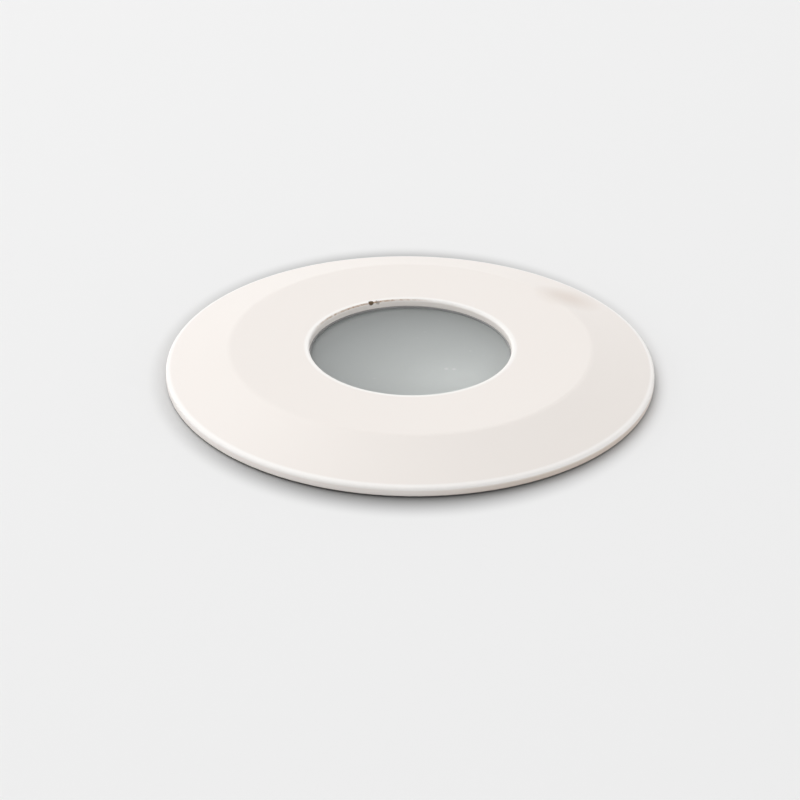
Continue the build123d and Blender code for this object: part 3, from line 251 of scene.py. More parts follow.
def new_group(name, inputs, outputs):
    """Empty shader node group: its tree, the sockets that come in and the node that they go out by."""
    tree = bpy.data.node_groups.new(name, "ShaderNodeTree")
    for label, kind in inputs.items():
        tree.interface.new_socket(label, in_out="INPUT", socket_type="NodeSocket" + kind)
    for label, kind in outputs.items():
        tree.interface.new_socket(label, in_out="OUTPUT", socket_type="NodeSocket" + kind)
    return tree, tree.nodes.new("NodeGroupInput").outputs, tree.nodes.new("NodeGroupOutput")


def use_group(tree, name, feed):
    return add(tree, "ShaderNodeGroup", feed, node_tree=bpy.data.node_groups[name]).outputs


# Effects that several finishes share


def uneven_tone_group():
    """Two tones of one colour in soft clouds."""
    tree, given, out = new_group("Uneven tone", {"Light": "Color", "Dark": "Color", "Scale": "Float"},
                                 {"Color": "Color", "Mask": "Float"})
    clouds = noise(tree, object_place(tree), given["Scale"], Detail=5.0, Roughness=0.6)
    mask = spread(tree, clouds, 0.3, 0.7)
    connect(tree, out, {"Mask": mask, "Color": mixed(tree, mask, given["Dark"], given["Light"])})


def fine_grain_group():
    """Fine unevenness of a surface, as a height: bumps with smaller, shallower pits among them."""
    tree, given, out = new_group("Fine grain", {"Scale": "Float"}, {"Height": "Float"})
    finer, shallower = 2.7, 0.25
    place = object_place(tree)
    bumps = noise(tree, place, given["Scale"], Detail=2.0)
    pits = cells(tree, place, math_node(tree, "MULTIPLY", given["Scale"], finer))
    connect(tree, out, {"Height": math_node(tree, "MULTIPLY_ADD", pits, shallower, bumps)})


def soft_edges_group():
    """Normals rounded over the edges, where the edges are, and where they have been rubbed bare."""
    tree, given, out = new_group("Soft edges", {"Radius": "Float", "Wear scale": "Float", "Wear": "Float"},
                                 {"Normal": "Vector", "Edge": "Float", "Wear": "Float"})
    bare_level, bare_blur = 0.8, 0.06
    rounded = add(tree, "ShaderNodeBevel", {"Radius": given["Radius"]}, samples=6).outputs[0]
    straight = tree.nodes.new("ShaderNodeNewGeometry").outputs["Normal"]
    bend = math_node(tree, "SUBTRACT", 1.0, vector_node(tree, "DOT_PRODUCT", rounded, straight))
    edge = spread(tree, bend, 0.01, 0.22)
    patches = noise(tree, object_place(tree), given["Wear scale"], Detail=4.0, Roughness=0.65)
    bare = math_node(tree, "SUBTRACT", bare_level, given["Wear"])
    mark_mask = spread(tree, patches, bare, math_node(tree, "ADD", bare, bare_blur))
    connect(tree, out, {"Normal": rounded, "Edge": edge, "Wear": math_node(tree, "MULTIPLY", edge, mark_mask)})


def turned_lines_group():
    """Rings that a lathe tool leaves round the Z axis."""
    tree, given, out = new_group("Turned lines", {"Pitch": "Float"}, {"Height": "Float"})
    radius = vector_node(tree, "LENGTH", vector_node(tree, "MULTIPLY", object_place(tree), (1, 1, 0)))
    count = math_node(tree, "DIVIDE", radius, given["Pitch"])
    rings = add(tree, "ShaderNodeTexNoise", {"W": count, "Scale": 1.0, "Detail": 3.0}, noise_dimensions="1D")
    connect(tree, out, {"Height": rings.outputs["Fac"]})


def drawn_lines_group():
    """Long fine streaks of rolled or drawn metal; Stretch holds the number of streaks along each axis."""
    tree, given, out = new_group("Drawn lines", {"Stretch": "Vector"}, {"Height": "Float"})
    place = vector_node(tree, "MULTIPLY", object_place(tree), given["Stretch"])
    connect(tree, out, {"Height": noise(tree, place, 1.0, Detail=3.0)})


def crevice_group():
    """Dirt and painted shade: darker where dirt stays, in corners and grooves that little light reaches."""
    tree, given, out = new_group("Crevices", {"Depth": "Float", "Scale": "Float"}, {"Mask": "Float"})
    open_sky = add(tree, "ShaderNodeAmbientOcclusion", {"Distance": given["Depth"]}, samples=6)
    closed = spread(tree, open_sky.outputs["AO"], 0.85, 0.25)
    darkening = spread(tree, noise(tree, object_place(tree), given["Scale"], Detail=4.0), 0.25, 0.65, 0.35, 1.0)
    connect(tree, out, {"Mask": math_node(tree, "MULTIPLY", closed, darkening)})


# Finishes

# A finish that more layers can go on: edges holds the outputs of its soft edges, and bump raises its grain
Coat = namedtuple("Coat", "material tree shader edges bump")

# Patches of wear are this many times finer than the clouds of a finish's tone
WEAR_FINENESS = 6


def new_material(name, plain):
    """Material with one shader; plain holds the values that are the same all over."""
    material = bpy.data.materials.new(name)
    material.use_nodes = True
    tree = material.node_tree
    shader = tree.nodes["Principled BSDF"]
    connect(tree, shader, plain)
    return material, tree, shader


def finish(name, light, dark, tone_scale, rough, grain_scale, grain_depth, edge, wear=0.0, **plain):
    """Surface with an uneven tone and gloss, fine grain and softened edges, ready for further layers."""
    material, tree, shader = new_material(name, plain)
    tone = use_group(tree, "Uneven tone", {"Light": light, "Dark": dark, "Scale": tone_scale})
    edges = use_group(tree, "Soft edges", {
        "Radius": edge, "Wear scale": WEAR_FINENESS * tone_scale, "Wear": wear})
    grain = use_group(tree, "Fine grain", {"Scale": grain_scale})
    bump = add(tree, "ShaderNodeBump", {
        "Height": grain["Height"], "Normal": edges["Normal"], "Distance": grain_depth})
    connect(tree, shader, {
        "Base Color": tone["Color"],
        "Roughness": spread(tree, tone["Mask"], 0, 1, *rough),
        "Normal": bump.outputs[0],
    })
    return Coat(material, tree, shader, edges, bump)


def recolour(coat, mask, colour):
    """Lay one more colour over what a finish has, where a mask says."""
    below = coat.shader.inputs["Base Color"].links[0].from_socket
    connect(coat.tree, coat.shader, {"Base Color": mixed(coat.tree, mask, below, colour)})


def regrain(coat, height):
    """Give a finish another grain."""
    connect(coat.tree, coat.bump, {"Height": height})


def near_spot(tree, place, spot, radius, core, strength=1.0):
    """Mask of a round spot that fades from its core, a share of its radius, to nothing at its radius."""
    return spread(tree, vector_node(tree, "DISTANCE", place, spot), radius, core * radius, 0.0, strength)


def near_direction(tree, outward, degrees, fade, strength):
    """Mask round the axis that fades with the angle from one direction."""
    angle = math.radians(degrees)
    cosine = vector_node(tree, "DOT_PRODUCT", outward, (math.cos(angle), math.sin(angle), 0))
    return spread(tree, cosine, *fade, 0.0, strength)


def powder_coat():
    """Warm white satin paint of the trim, with orange peel, painted highlights on its edges, painted shade on
    its rim's wall and its marks.
    """
    coat = finish("warm_white_powder_coat", srgb(244, 238, 233), srgb(243, 237, 232), tone_scale=12,
                  rough=(0.37, 0.40), grain_scale=1500, grain_depth=0.006 * MM, edge=0.25 * MM,
                  **{"Specular IOR Level": 0.12})
    tree = coat.tree
    place = object_place(tree)
    flat = vector_node(tree, "MULTIPLY", place, (1, 1, 0))
    outward = vector_node(tree, "NORMALIZE", flat)
    radius = vector_node(tree, "LENGTH", flat)
    height = add(tree, "ShaderNodeSeparateXYZ", {0: place}).outputs["Z"]
    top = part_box("trim_ring")[1]
    at_rim = spread(tree, radius, top.x - RIM_BAND, top.x - BAND_FULL * RIM_BAND)
    # A faint darker, warmer patch on the bevel
    dark_patch = near_spot(tree, place, DARK_PATCH, DARK_PATCH_R, DARK_PATCH_CORE, DARK_PATCH_STRENGTH)
    recolour(coat, dark_patch, srgb(226, 214, 205))
    # Painted highlights on the edges of the opening and of the rim
    painted_edge_highlights(coat, radius, height, at_rim, top.z)
    # Painted shade on the lower part of the rim's wall, strongest towards one side
    darkening = math_node(tree, "MULTIPLY", spread(tree, height, *RIM_SHADE_Z),
                     near_direction(tree, outward, RIM_SHADE_DEGREES, RIM_SHADE_FADE, RIM_SHADE_STRENGTH))
    recolour(coat, math_node(tree, "MULTIPLY", darkening, at_rim), srgb(216, 202, 190))
    opening_line_and_chips(coat, place, radius, height, outward, top.z)
    return coat.material


def painted_edge_highlights(coat, radius, height, at_rim, face_z):
    """Painted highlights: whiter colour on the edges of the opening and of the rim."""
    tree = coat.tree
    at_opening = spread(tree, radius, OPENING_R + OPENING_HIGHLIGHT, OPENING_R + BAND_FULL * OPENING_HIGHLIGHT)
    inner = math_node(tree, "MULTIPLY", at_opening,
                      spread(tree, height, *(face_z - drop for drop in OPENING_HIGHLIGHT_DROP)))
    outer = math_node(tree, "MULTIPLY", at_rim, spread(tree, height, *RIM_HIGHLIGHT_Z))
    recolour(coat, math_node(tree, "MAXIMUM", inner, outer), srgb(252, 249, 246))


def opening_line_and_chips(coat, place, radius, height, outward, face_z):
    """Brown line along the rounded edge of the opening, and dark chips on it."""
    tree = coat.tree
    corner = (1 - math.sqrt(0.5)) * OPENING_ROUND
    edge_r = OPENING_R + corner
    edge_z = face_z - corner
    ragged = noise(tree, place, RAGGED_SCALE, Detail=3.0)
    section = add(tree, "ShaderNodeCombineXYZ", {"X": radius, "Y": height}).outputs[0]
    line = near_spot(tree, section, (edge_r, edge_z, 0), BROWN_LINE_BAND, BROWN_LINE_CORE)
    # Brown line along the rounded edge of the opening, strongest towards one side
    mark_mask = math_node(tree, "MULTIPLY", line,
                       near_direction(tree, outward, BROWN_LINE_DEGREES, BROWN_LINE_FADE, BROWN_LINE_STRENGTH))
    mark_mask = math_node(tree, "MULTIPLY", mark_mask, spread(tree, ragged, 0.3, 0.6, 0.35, 1.0))
    recolour(coat, mark_mask, srgb(176, 142, 114))
    for degrees, reach, strength in PAINT_CHIPS:
        angle = math.radians(degrees)
        spot = (edge_r * math.cos(angle), edge_r * math.sin(angle), edge_z)
        outline = math_node(tree, "MULTIPLY", ragged, 2 * reach)
        inside = math_node(tree, "SUBTRACT", outline, vector_node(tree, "DISTANCE", place, spot))
        recolour(coat, spread(tree, inside, *CHIP_OUTLINE, 0.0, strength), srgb(104, 86, 68))


def frosted_glass():
    """Etched front glass: milky grey with painted light and shade, lightest before its middle, with faint
    specks and two light marks.
    """
    coat = finish("frosted_glass", srgb(238, 242, 240), srgb(232, 236, 234), tone_scale=120,
                  rough=(0.42, 0.52), grain_scale=2600, grain_depth=0.006 * MM, edge=0.1 * MM,
                  IOR=1.5, **{"Transmission Weight": 0.5})
    tree = coat.tree
    place = object_place(tree)
    # Painted light and shade: lightest near one place before the middle, darker away from it
    fade = spread(tree, vector_node(tree, "DISTANCE", place, GLASS_LIGHT_SPOT), GLASS_LIGHT_CORE * GLASS_LIGHT_FADE, GLASS_LIGHT_FADE)
    recolour(coat, fade, srgb(186, 190, 189))
    patches = spread(tree, noise(tree, place, scale=160, Detail=2.0), 0.56, 0.70, 0.0, 0.25)
    specks = spread(tree, cells(tree, place, scale=520), 0.22, 0.08)
    recolour(coat, math_node(tree, "MULTIPLY", specks, patches), srgb(250, 252, 250))
    for spot in GLASS_MARKS:
        recolour(coat, near_spot(tree, place, spot, MARK_R, MARK_CORE), grey(1.0))
    return coat.material


def grey_silicone():
    """Soft grey seal of the front glass."""
    return finish("grey_silicone", grey(0.33), grey(0.28), tone_scale=150, rough=(0.5, 0.65),
                  grain_scale=3800, grain_depth=0.01 * MM, edge=0.1 * MM).material


def seal_rubber():
    return finish("black_rubber", grey(0.030), grey(0.018), tone_scale=150, rough=(0.55, 0.72),
                  grain_scale=3800, grain_depth=0.01 * MM, edge=0.1 * MM).material


def foam_rubber():
    """Foam sheet under the flange, with open cells."""
    coat = finish("foam_rubber", grey(0.07), grey(0.035), tone_scale=300, rough=(0.8, 0.95),
                  grain_scale=2200, grain_depth=0.06 * MM, edge=0.1 * MM)
    regrain(coat, cells(coat.tree, object_place(coat.tree), scale=2600))
    return coat.material


def turned_aluminium():
    coat = finish("turned_aluminium", grey(0.80), grey(0.70), tone_scale=90, rough=(0.26, 0.4),
                  grain_scale=3000, grain_depth=0.004 * MM, edge=0.1 * MM, Metallic=1.0)
    regrain(coat, use_group(coat.tree, "Turned lines", {"Pitch": 0.06 * MM})["Height"])
    return coat.material


def cast_aluminium():
    """Blasted casting: grainy, darker with dirt and painted shade in its crevices, brighter on rubbed edges.
    """
    cool = (1.0, 1.01, 1.02)
    coat = finish("cast_aluminium", grey(0.62, cool), grey(0.50, cool), tone_scale=70, rough=(0.46, 0.62),
                  grain_scale=2300, grain_depth=0.022 * MM, edge=0.25 * MM, wear=0.3, Metallic=1.0)
    dirt_and_shade = use_group(coat.tree, "Crevices", {"Depth": 5 * MM, "Scale": 260})
    # Dirt and painted shade in crevices
    recolour(coat, dirt_and_shade["Mask"], grey(0.24, (1.0, 0.97, 0.92)))
    recolour(coat, coat.edges["Wear"], grey(0.86))
    return coat.material


def rivet_aluminium():
    return finish("rivet_aluminium", grey(0.82), grey(0.72), tone_scale=400, rough=(0.25, 0.4),
                  grain_scale=3000, grain_depth=0.006 * MM, edge=0.15 * MM, Metallic=1.0).material


def lamp_white():
    return finish("lamp_white", srgb(232, 232, 228), srgb(225, 225, 220), tone_scale=60, rough=(0.28, 0.36),
                  grain_scale=3200, grain_depth=0.004 * MM, edge=0.2 * MM).material


def lamp_base_white():
    return finish("lamp_base_white", srgb(226, 225, 220), srgb(216, 215, 209), tone_scale=80,
                  rough=(0.4, 0.5), grain_scale=4200, grain_depth=0.008 * MM, edge=0.2 * MM).material


def clear_lens():
    """Moulded clear lens, very slightly frosted between its lenslets."""
    return finish("clear_lens", grey(0.97), grey(0.93), tone_scale=200, rough=(0.05, 0.12), grain_scale=900,
                  grain_depth=0.002 * MM, edge=0.1 * MM, IOR=1.49, **{"Transmission Weight": 1.0}).material


def nickel_plate():
    warm = (1.0, 0.96, 0.9)
    return finish("nickel_plate", grey(0.70, warm), grey(0.62, warm), tone_scale=300, rough=(0.2, 0.32),
                  grain_scale=3000, grain_depth=0.003 * MM, edge=0.1 * MM, Metallic=1.0).material


def holder_ceramic():
    """Glazed ceramic with a few dark specks."""
    coat = finish("holder_ceramic", srgb(232, 229, 220), srgb(222, 218, 207), tone_scale=120,
                  rough=(0.3, 0.45), grain_scale=2600, grain_depth=0.012 * MM, edge=0.2 * MM)
    specks = spread(coat.tree, cells(coat.tree, object_place(coat.tree), scale=900), 0.16, 0.1)
    recolour(coat, specks, grey(0.3, (1.0, 0.9, 0.8)))
    return coat.material


def contact_brass():
    return finish("contact_brass", (0.80, 0.60, 0.27, 1), (0.66, 0.47, 0.20, 1), tone_scale=260,
                  rough=(0.24, 0.4), grain_scale=3000, grain_depth=0.004 * MM, edge=0.1 * MM,
                  Metallic=1.0).material


def zinc_screw():
    """Bright zinc plate with a faint yellow and blue cast."""
    yellow, blue = (1.0, 1.0, 0.96), (0.96, 1.0, 1.04)
    coat = finish("zinc_plated_screw", grey(0.72, yellow), grey(0.58, blue), tone_scale=500,
                  rough=(0.24, 0.4), grain_scale=2800, grain_depth=0.005 * MM, edge=0.15 * MM, Metallic=1.0)
    dirt_and_shade = use_group(coat.tree, "Crevices", {"Depth": 1.0 * MM, "Scale": 900})
    # Dirt and painted shade in crevices
    recolour(coat, dirt_and_shade["Mask"], grey(0.12))
    return coat.material


def spring_wire_steel():
    coat = finish("spring_wire_steel", grey(0.60), grey(0.46), tone_scale=500, rough=(0.22, 0.36),
                  grain_scale=3000, grain_depth=0.004 * MM, edge=0.05 * MM, Metallic=1.0)
    dirt_and_shade = use_group(coat.tree, "Crevices", {"Depth": 0.8 * MM, "Scale": 900})
    # Dirt and painted shade in crevices
    recolour(coat, dirt_and_shade["Mask"], grey(0.16, (1.0, 0.92, 0.84)))
    return coat.material


def pressed_sheet():
    """Zinc-plated strip of the clips and brackets, with its rolling lines."""
    blue, yellow = (0.98, 1.0, 1.03), (1.0, 1.0, 0.98)
    coat = finish("zinc_plated_sheet", grey(0.70, blue), grey(0.58, yellow), tone_scale=160,
                  rough=(0.26, 0.42), grain_scale=2600, grain_depth=0.008 * MM, edge=0.2 * MM, wear=0.28,
                  Metallic=1.0)
    regrain(coat, use_group(coat.tree, "Drawn lines", {"Stretch": (300, 6000, 300)})["Height"])
    dirt_and_shade = use_group(coat.tree, "Crevices", {"Depth": 2.0 * MM, "Scale": 500})
    # Dirt and painted shade in crevices
    recolour(coat, dirt_and_shade["Mask"], grey(0.2, (1.0, 0.95, 0.88)))
    recolour(coat, coat.edges["Wear"], grey(0.88))
    return coat.material


def tip_plastic():
    return finish("soft_dark_plastic", grey(0.045), grey(0.03), tone_scale=140, rough=(0.42, 0.56),
                  grain_scale=3400, grain_depth=0.012 * MM, edge=0.25 * MM).material


def collar_plastic():
    return finish("collar_plastic", srgb(196, 198, 196), srgb(184, 186, 184), tone_scale=90,
                  rough=(0.38, 0.5), grain_scale=3600, grain_depth=0.01 * MM, edge=0.2 * MM).material


def block_plastic():
    return finish("terminal_plastic", srgb(232, 231, 224), srgb(220, 218, 209), tone_scale=110,
                  rough=(0.34, 0.46), grain_scale=3600, grain_depth=0.01 * MM, edge=0.2 * MM).material


def gland_plastic():
    """Moulded nylon of the cable gland, with a fine spark texture."""
    return finish("gland_nylon", grey(0.055), grey(0.038), tone_scale=120, rough=(0.4, 0.54),
                  grain_scale=3400, grain_depth=0.016 * MM, edge=0.3 * MM, wear=0.1).material


def lead_sleeve(name, light, dark):
    return finish(name, light, dark, tone_scale=200, rough=(0.34, 0.46), grain_scale=3000,
                  grain_depth=0.006 * MM, edge=0.1 * MM)


def lead_brown():
    return lead_sleeve("brown_sleeve", srgb(120, 72, 44), srgb(104, 60, 36)).material


def lead_blue():
    return lead_sleeve("blue_sleeve", srgb(44, 92, 170), srgb(36, 78, 150)).material


def lead_green():
    """Green sleeve with a yellow stripe along it."""
    coat = lead_sleeve("earth_sleeve", srgb(58, 140, 62), srgb(46, 122, 52))
    turn = add(coat.tree, "ShaderNodeTexWave", {
        "Vector": object_place(coat.tree), "Scale": 160, "Distortion": 0.0}, bands_direction="DIAGONAL")
    recolour(coat, spread(coat.tree, turn.outputs["Fac"], 0.45, 0.55), srgb(226, 200, 54))
    return coat.material


def chip_phosphor():
    """Yellow phosphor of a light-emitting chip, unlit."""
    return finish("chip_phosphor", srgb(236, 206, 82), srgb(224, 188, 60), tone_scale=900, rough=(0.4, 0.55),
                  grain_scale=6000, grain_depth=0.01 * MM, edge=0.05 * MM).material


def tray_lacquer():
    """Dark lacquer of the tray that carries the chips."""
    return finish("board_lacquer", grey(0.05), grey(0.04), tone_scale=260, rough=(0.3, 0.42),
                  grain_scale=3000, grain_depth=0.006 * MM, edge=0.05 * MM).material


def pale_floor():
    """Plain pale surface, shaded close round the trim; from below it isn't there, so the can shows too."""
    material, tree, shader = new_material("pale_floor", {"Roughness": 1.0, "Specular IOR Level": 0.0})
    by_trim = add(tree, "ShaderNodeTexCoord", object=frame["nodes"]["trim_ring"]).outputs["Object"]
    shares = vector_node(tree, "MULTIPLY", vector_node(tree, "SUBTRACT", by_trim, SHADE_MIDDLE),
                         (1 / SHADE_ACROSS, 1 / SHADE_ALONG, 1 / SHADE_LIFT))
    clear_of = spread(tree, vector_node(tree, "LENGTH", shares), SHADE_START, SHADE_END,
                      interpolation_type="SMOOTHSTEP")
    tone = mixed(tree, clear_of, grey(SHADE_LEVEL * FLOOR_TONE), grey(FLOOR_TONE))
    connect(tree, shader, {"Base Color": tone})
    below = tree.nodes.new("ShaderNodeNewGeometry").outputs["Backfacing"]
    clear = tree.nodes.new("ShaderNodeBsdfTransparent")
    mix = add(tree, "ShaderNodeMixShader", {0: below, 1: shader.outputs[0], 2: clear.outputs[0]})
    connect(tree, tree.nodes["Material Output"], {"Surface": mix.outputs[0]})
    return material


# Pieces


def turns_of(count):
    """Angles of points spaced evenly round a circle."""
    return [2 * math.pi * i / count for i in range(count)]


def circle(shape, radius, height, count):
    """Ring of new points round the Z axis."""
    return [shape.verts.new((radius * math.cos(turn), radius * math.sin(turn), height))
            for turn in turns_of(count)]


def bridge(shape, rings):
    """Faces between each ring of points and the next."""
    for first, second in zip(rings, rings[1:]):
        for i in range(len(first)):
            j = (i + 1) % len(first)
            shape.faces.new((first[i], first[j], second[j], second[i]))


def cap_ends(shape, rings):
    """Close the first and the last ring, and turn all faces outward."""
    shape.faces.new(list(reversed(rings[0])))
    shape.faces.new(rings[-1])
    bmesh.ops.recalc_face_normals(shape, faces=shape.faces)


def piece_of(name, shape, material):
    """Object made of a finished shape."""
    mesh = bpy.data.meshes.new(name)
    shape.to_mesh(mesh)
    shape.free()
    mesh.materials.append(material)
    piece = bpy.data.objects.new(name, mesh)
    bpy.context.collection.objects.link(piece)
    return piece


def wire_shape(points, radius, sides):
    """Closed round wire along points, with slightly domed ends."""
    shape = bmesh.new()
    last = len(points) - 1
    headings = [(points[min(i + 1, last)] - points[max(i - 1, 0)]).normalized() for i in range(last + 1)]
    across = headings[0].orthogonal().normalized()
    rings = []

    def ring(centre, heading, share):
        side = heading.cross(across)
        return [shape.verts.new(centre + (across * math.cos(turn) + side * math.sin(turn)) * radius * share)
                for turn in turns_of(sides)]

    def end_rings(point, inward, heading):
        return [ring(point + inward * radius * depth, heading, share) for depth, share in WIRE_END]

    for i, (point, heading) in enumerate(zip(points, headings)):
        across = (across - heading * across.dot(heading)).normalized()
        if i == 0:
            rings += end_rings(point, heading, heading)
        elif i == last:
            rings += reversed(end_rings(point, -heading, heading))
        else:
            rings.append(ring(point, heading, 1.0))
    bridge(shape, rings)
    cap_ends(shape, rings)
    for face in shape.faces:
        face.smooth = len(face.verts) == 4
    return shape


def tangent_angle(x, z, side):
    """Angle at which a straight leg from (x, z) touches the coil's middle line, in radians."""
    return math.atan2(z, x) + side * math.acos(COIL_MEAN_R / math.hypot(x, z))


def spring_line():
    """Middle line of the wire about the pivot pin, and half the length of its coil along the pin."""
    start = tangent_angle(-LEG_BACK, -LEG_BASE, -1)
    end = tangent_angle(LEG_ARM, LEG_RISE, 1) + math.radians(CLIP_REST)
    turn = 2 * math.pi * COIL_TURNS + (start - end) % (2 * math.pi)
    rise = (WIRE_D + COIL_GAP) / (2 * math.pi)
    half = rise * turn / 2
    steps = math.ceil(STEPS_PER_TURN * turn / (2 * math.pi))

    def place(step):
        angle = start - turn * step / steps
        along = -half + 2 * half * step / steps
        return Vector((COIL_MEAN_R * math.cos(angle), along, COIL_MEAN_R * math.sin(angle)))

    def heading(angle):
        return Vector((COIL_MEAN_R * math.sin(angle), rise, -COIL_MEAN_R * math.cos(angle))).normalized()

    coil = [place(step) for step in range(steps + 1)]
    base_leg = math.sqrt(LEG_BACK ** 2 + LEG_BASE ** 2 - COIL_MEAN_R ** 2)
    arm_leg = math.sqrt(LEG_ARM ** 2 + LEG_RISE ** 2 - COIL_MEAN_R ** 2) + LEG_UNDER
    before = [coil[0] - heading(start) * base_leg * (1 - i / LEG_STEPS) for i in range(LEG_STEPS)]
    after = [coil[-1] + heading(start - turn) * arm_leg * (i + 1) / LEG_STEPS for i in range(LEG_STEPS)]
    return before + coil + after, half


def clip_springs(material):
    """Wound wire springs of both clips, which twist between the can and the clip."""
    line, half = spring_line()
    for side, turn in (("right", 0), ("left", math.pi)):
        joint = next(j for j in frame["joints"] if j["name"] == f"clip_{side}_fold")
        place = Matrix.Translation(joint["pos_m"]) @ Matrix.Rotation(turn, 4, "Z")
        shape = wire_shape([place @ point for point in line], WIRE_D / 2, WIRE_SIDES)
        wire = piece_of(f"clip_spring_wire_{side}", shape, material)
        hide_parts(f"clip_spring_{side}")
        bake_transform(wire)


def lamp_chips(material):
    """Light-emitting chips on the tray, one under each lenslet of the lens."""
    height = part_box("lamp_lens")[0].z + TRAY_INSET + TRAY_T + CHIP_RISE
    places = [Vector((0, 0, height))]
    for turn in turns_of(OUTER_LENSLETS):
        places.append(Vector((LENSLET_PITCH * math.cos(turn), LENSLET_PITCH * math.sin(turn), height)))
    size = Matrix.Diagonal((CHIP_SIZE, CHIP_SIZE, CHIP_T, 1))
    shape = bmesh.new()
    for place in places:
        bmesh.ops.create_cube(shape, size=1.0, matrix=Matrix.Translation(place) @ size)
    bmesh.ops.bevel(shape, geom=shape.edges[:], offset=CHIP_BEVEL, segments=CHIP_BEVEL_STEPS,
                    affect="EDGES", profile=0.5)
    chips = piece_of("lamp_chips", shape, material)
    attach(chips, "lamp")


def chip_tray(material):
    """Shallow tray set into the lens: the board that carries the chips, with an upright edge round it."""
    low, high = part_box("lamp_lens")
    outer = high.x - TRAY_INSET
    inner = outer - TRAY_EDGE
    foot = low.z + TRAY_INSET
    profile = ((inner, foot + TRAY_T), (inner, foot + TRAY_H), (outer, foot + TRAY_H), (outer, foot))
    shape = bmesh.new()
    rings = [circle(shape, radius, height, TRAY_SEGMENTS) for radius, height in profile]
    bridge(shape, rings)
    cap_ends(shape, rings)
    tray = piece_of("lamp_chip_tray", shape, material)
    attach(tray, "lamp")


# Studio


def floor(material):
    """Wide pale surface with the round cut-out that the light sits in; its faces look up."""
    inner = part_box("locating_collar")[1].x + CUTOUT_CLEARANCE
    radii = (FLOOR_R, MIDDLE_RING * inner, inner)
    shape = bmesh.new()
    bridge(shape, [circle(shape, radius, 0, FLOOR_SEGMENTS) for radius in radii])
    piece_of("floor", shape, material)


def sky():
    """Soft light from all round, stronger near the horizon; what is seen of it is the pale background."""
    world = bpy.data.worlds.new("studio")
    bpy.context.scene.world = world
    world.use_nodes = True
    tree = world.node_tree
    tree.nodes.clear()
    ring_sine = math.sin(math.radians(HORIZON_TOP))
    sky_share = LIGHT_LEVEL - sum(lamp["share"] for lamp in LAMPS.values())
    low_level = sky_share * HORIZON_SHARE / ring_sine ** 2
    high_level = sky_share * (1 - HORIZON_SHARE) / (1 - ring_sine ** 2)
    direction = tree.nodes.new("ShaderNodeTexCoord").outputs["Generated"]
    height = add(tree, "ShaderNodeSeparateXYZ", {0: direction}).outputs["Z"]
    upper = spread(tree, height, ring_sine - HORIZON_BLUR, ring_sine + HORIZON_BLUR, low_level, high_level)
    above = spread(tree, height, -HORIZON_BLUR, HORIZON_BLUR)
    extra = math_node(tree, "MULTIPLY", above, math_node(tree, "SUBTRACT", upper, UNDER_LEVEL))
    light = add(tree, "ShaderNodeBackground", {
        "Color": grey(1.0), "Strength": math_node(tree, "ADD", extra, UNDER_LEVEL)})
    seen = add(tree, "ShaderNodeBackground", {"Color": grey(PALE), "Strength": 1.0})
    rays = tree.nodes.new("ShaderNodeLightPath").outputs
    looking = math_node(tree, "MAXIMUM", rays["Is Camera Ray"], rays["Is Glossy Ray"])
    looking = math_node(tree, "MAXIMUM", looking, rays["Is Transmission Ray"])
    mix = add(tree, "ShaderNodeMixShader", {0: looking, 1: light.outputs[0], 2: seen.outputs[0]})
    add(tree, "ShaderNodeOutputWorld", {"Surface": mix.outputs[0]})


def soft_lamp(name, share, azimuth, elevation, distance, diameter):
    """Round soft lamp aimed at the trim; its power gives its share of the level on a flat surface."""
    turn, rise = math.radians(azimuth), math.radians(elevation)
    data = bpy.data.lights.new(name, "AREA")
    data.shape = "DISK"
    data.size = diameter
    data.energy = share * math.pi ** 2 * (distance ** 2 + (diameter / 2) ** 2) / math.sin(rise)
    lamp = bpy.data.objects.new(name, data)
    flat = math.cos(rise)
    lamp.location = Vector((flat * math.cos(turn), flat * math.sin(turn), math.sin(rise))) * distance
    lamp.rotation_euler = lamp.location.to_track_quat("Z", "Y").to_euler()
    bpy.context.collection.objects.link(lamp)


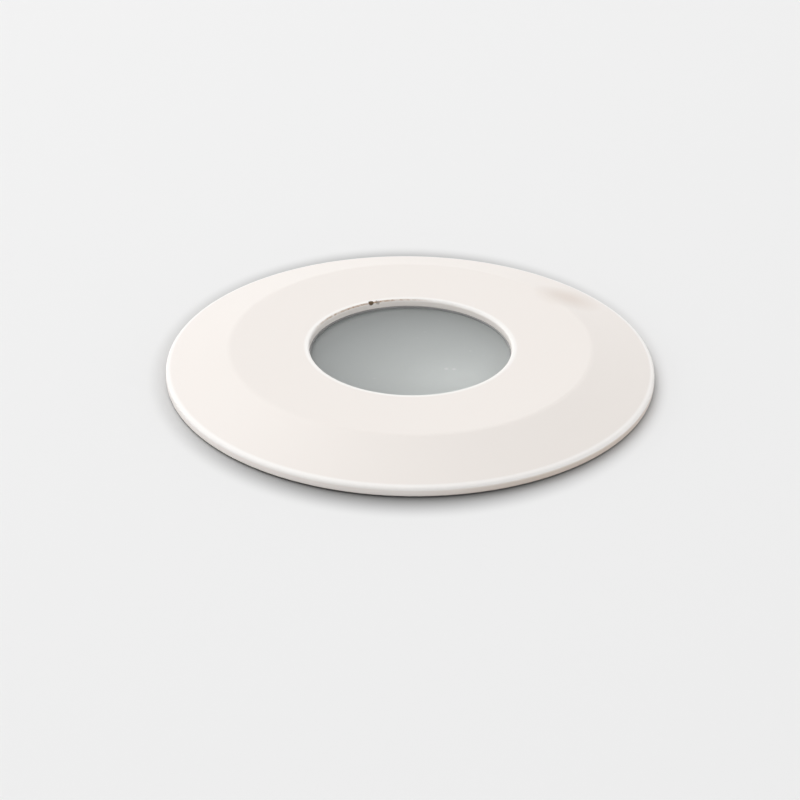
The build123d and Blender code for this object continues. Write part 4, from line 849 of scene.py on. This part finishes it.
def camera():
    """Camera at the angle of the photograph, aimed so that the light's axis falls on its pixel."""
    data = bpy.data.cameras.new("camera")
    data.lens = LENS_MM
    data.sensor_width = SENSOR_MM
    data.clip_end = 2 * FLOOR_R
    view = bpy.data.objects.new("camera", data)
    tilt = Matrix.Rotation(math.radians(90 - VIEW_ELEVATION), 4, "X")
    turn = tilt @ Matrix.Rotation(math.radians(VIEW_ROLL), 4, "Z")
    distance = FRAME_PX * LENS_MM / SENSOR_MM / PX_PER_METRE
    right = (FRAME_PX / 2 - AXIS_PX[0]) / PX_PER_METRE
    up = (AXIS_PX[1] - FRAME_PX / 2) / PX_PER_METRE
    view.matrix_world = turn @ Matrix.Translation((right, up, distance))
    bpy.context.collection.objects.link(view)
    bpy.context.scene.camera = view


def slot_finishes():
    """Material of each slot of the record."""
    return {
        "trim_white": powder_coat(),
        "frosted_glass": frosted_glass(),
        "seal_rubber": seal_rubber(),
        "grey_silicone": grey_silicone(),
        "foam_rubber": foam_rubber(),
        "ring_aluminium": turned_aluminium(),
        "cast_aluminium": cast_aluminium(),
        "rivet_aluminium": rivet_aluminium(),
        "lamp_white": lamp_white(),
        "lens_clear": clear_lens(),
        "lamp_base_white": lamp_base_white(),
        "nickel_plate": nickel_plate(),
        "holder_ceramic": holder_ceramic(),
        "contact_brass": contact_brass(),
        "screw_steel": zinc_screw(),
        "spring_steel": spring_wire_steel(),
        "bracket_steel": pressed_sheet(),
        "tip_plastic": tip_plastic(),
        "collar_plastic": collar_plastic(),
        "block_plastic": block_plastic(),
        "gland_plastic": gland_plastic(),
        "lead_brown": lead_brown(),
        "lead_blue": lead_blue(),
        "lead_green": lead_green(),
    }


def main():
    for build_group in (uneven_tone_group, fine_grain_group, soft_edges_group, turned_lines_group,
                        drawn_lines_group, crevice_group):
        build_group()
    finishes = slot_finishes()
    for node in frame["nodes"].values():
        for slot in node.material_slots:
            slot.material = finishes[slot.material.name]
    clip_springs(finishes["spring_steel"])
    lamp_chips(chip_phosphor())
    chip_tray(tray_lacquer())
    floor(pale_floor())
    sky()
    for name, lamp in LAMPS.items():
        soft_lamp(name, **lamp)
    camera()
    bpy.context.scene.view_settings.view_transform = "Standard"


main()
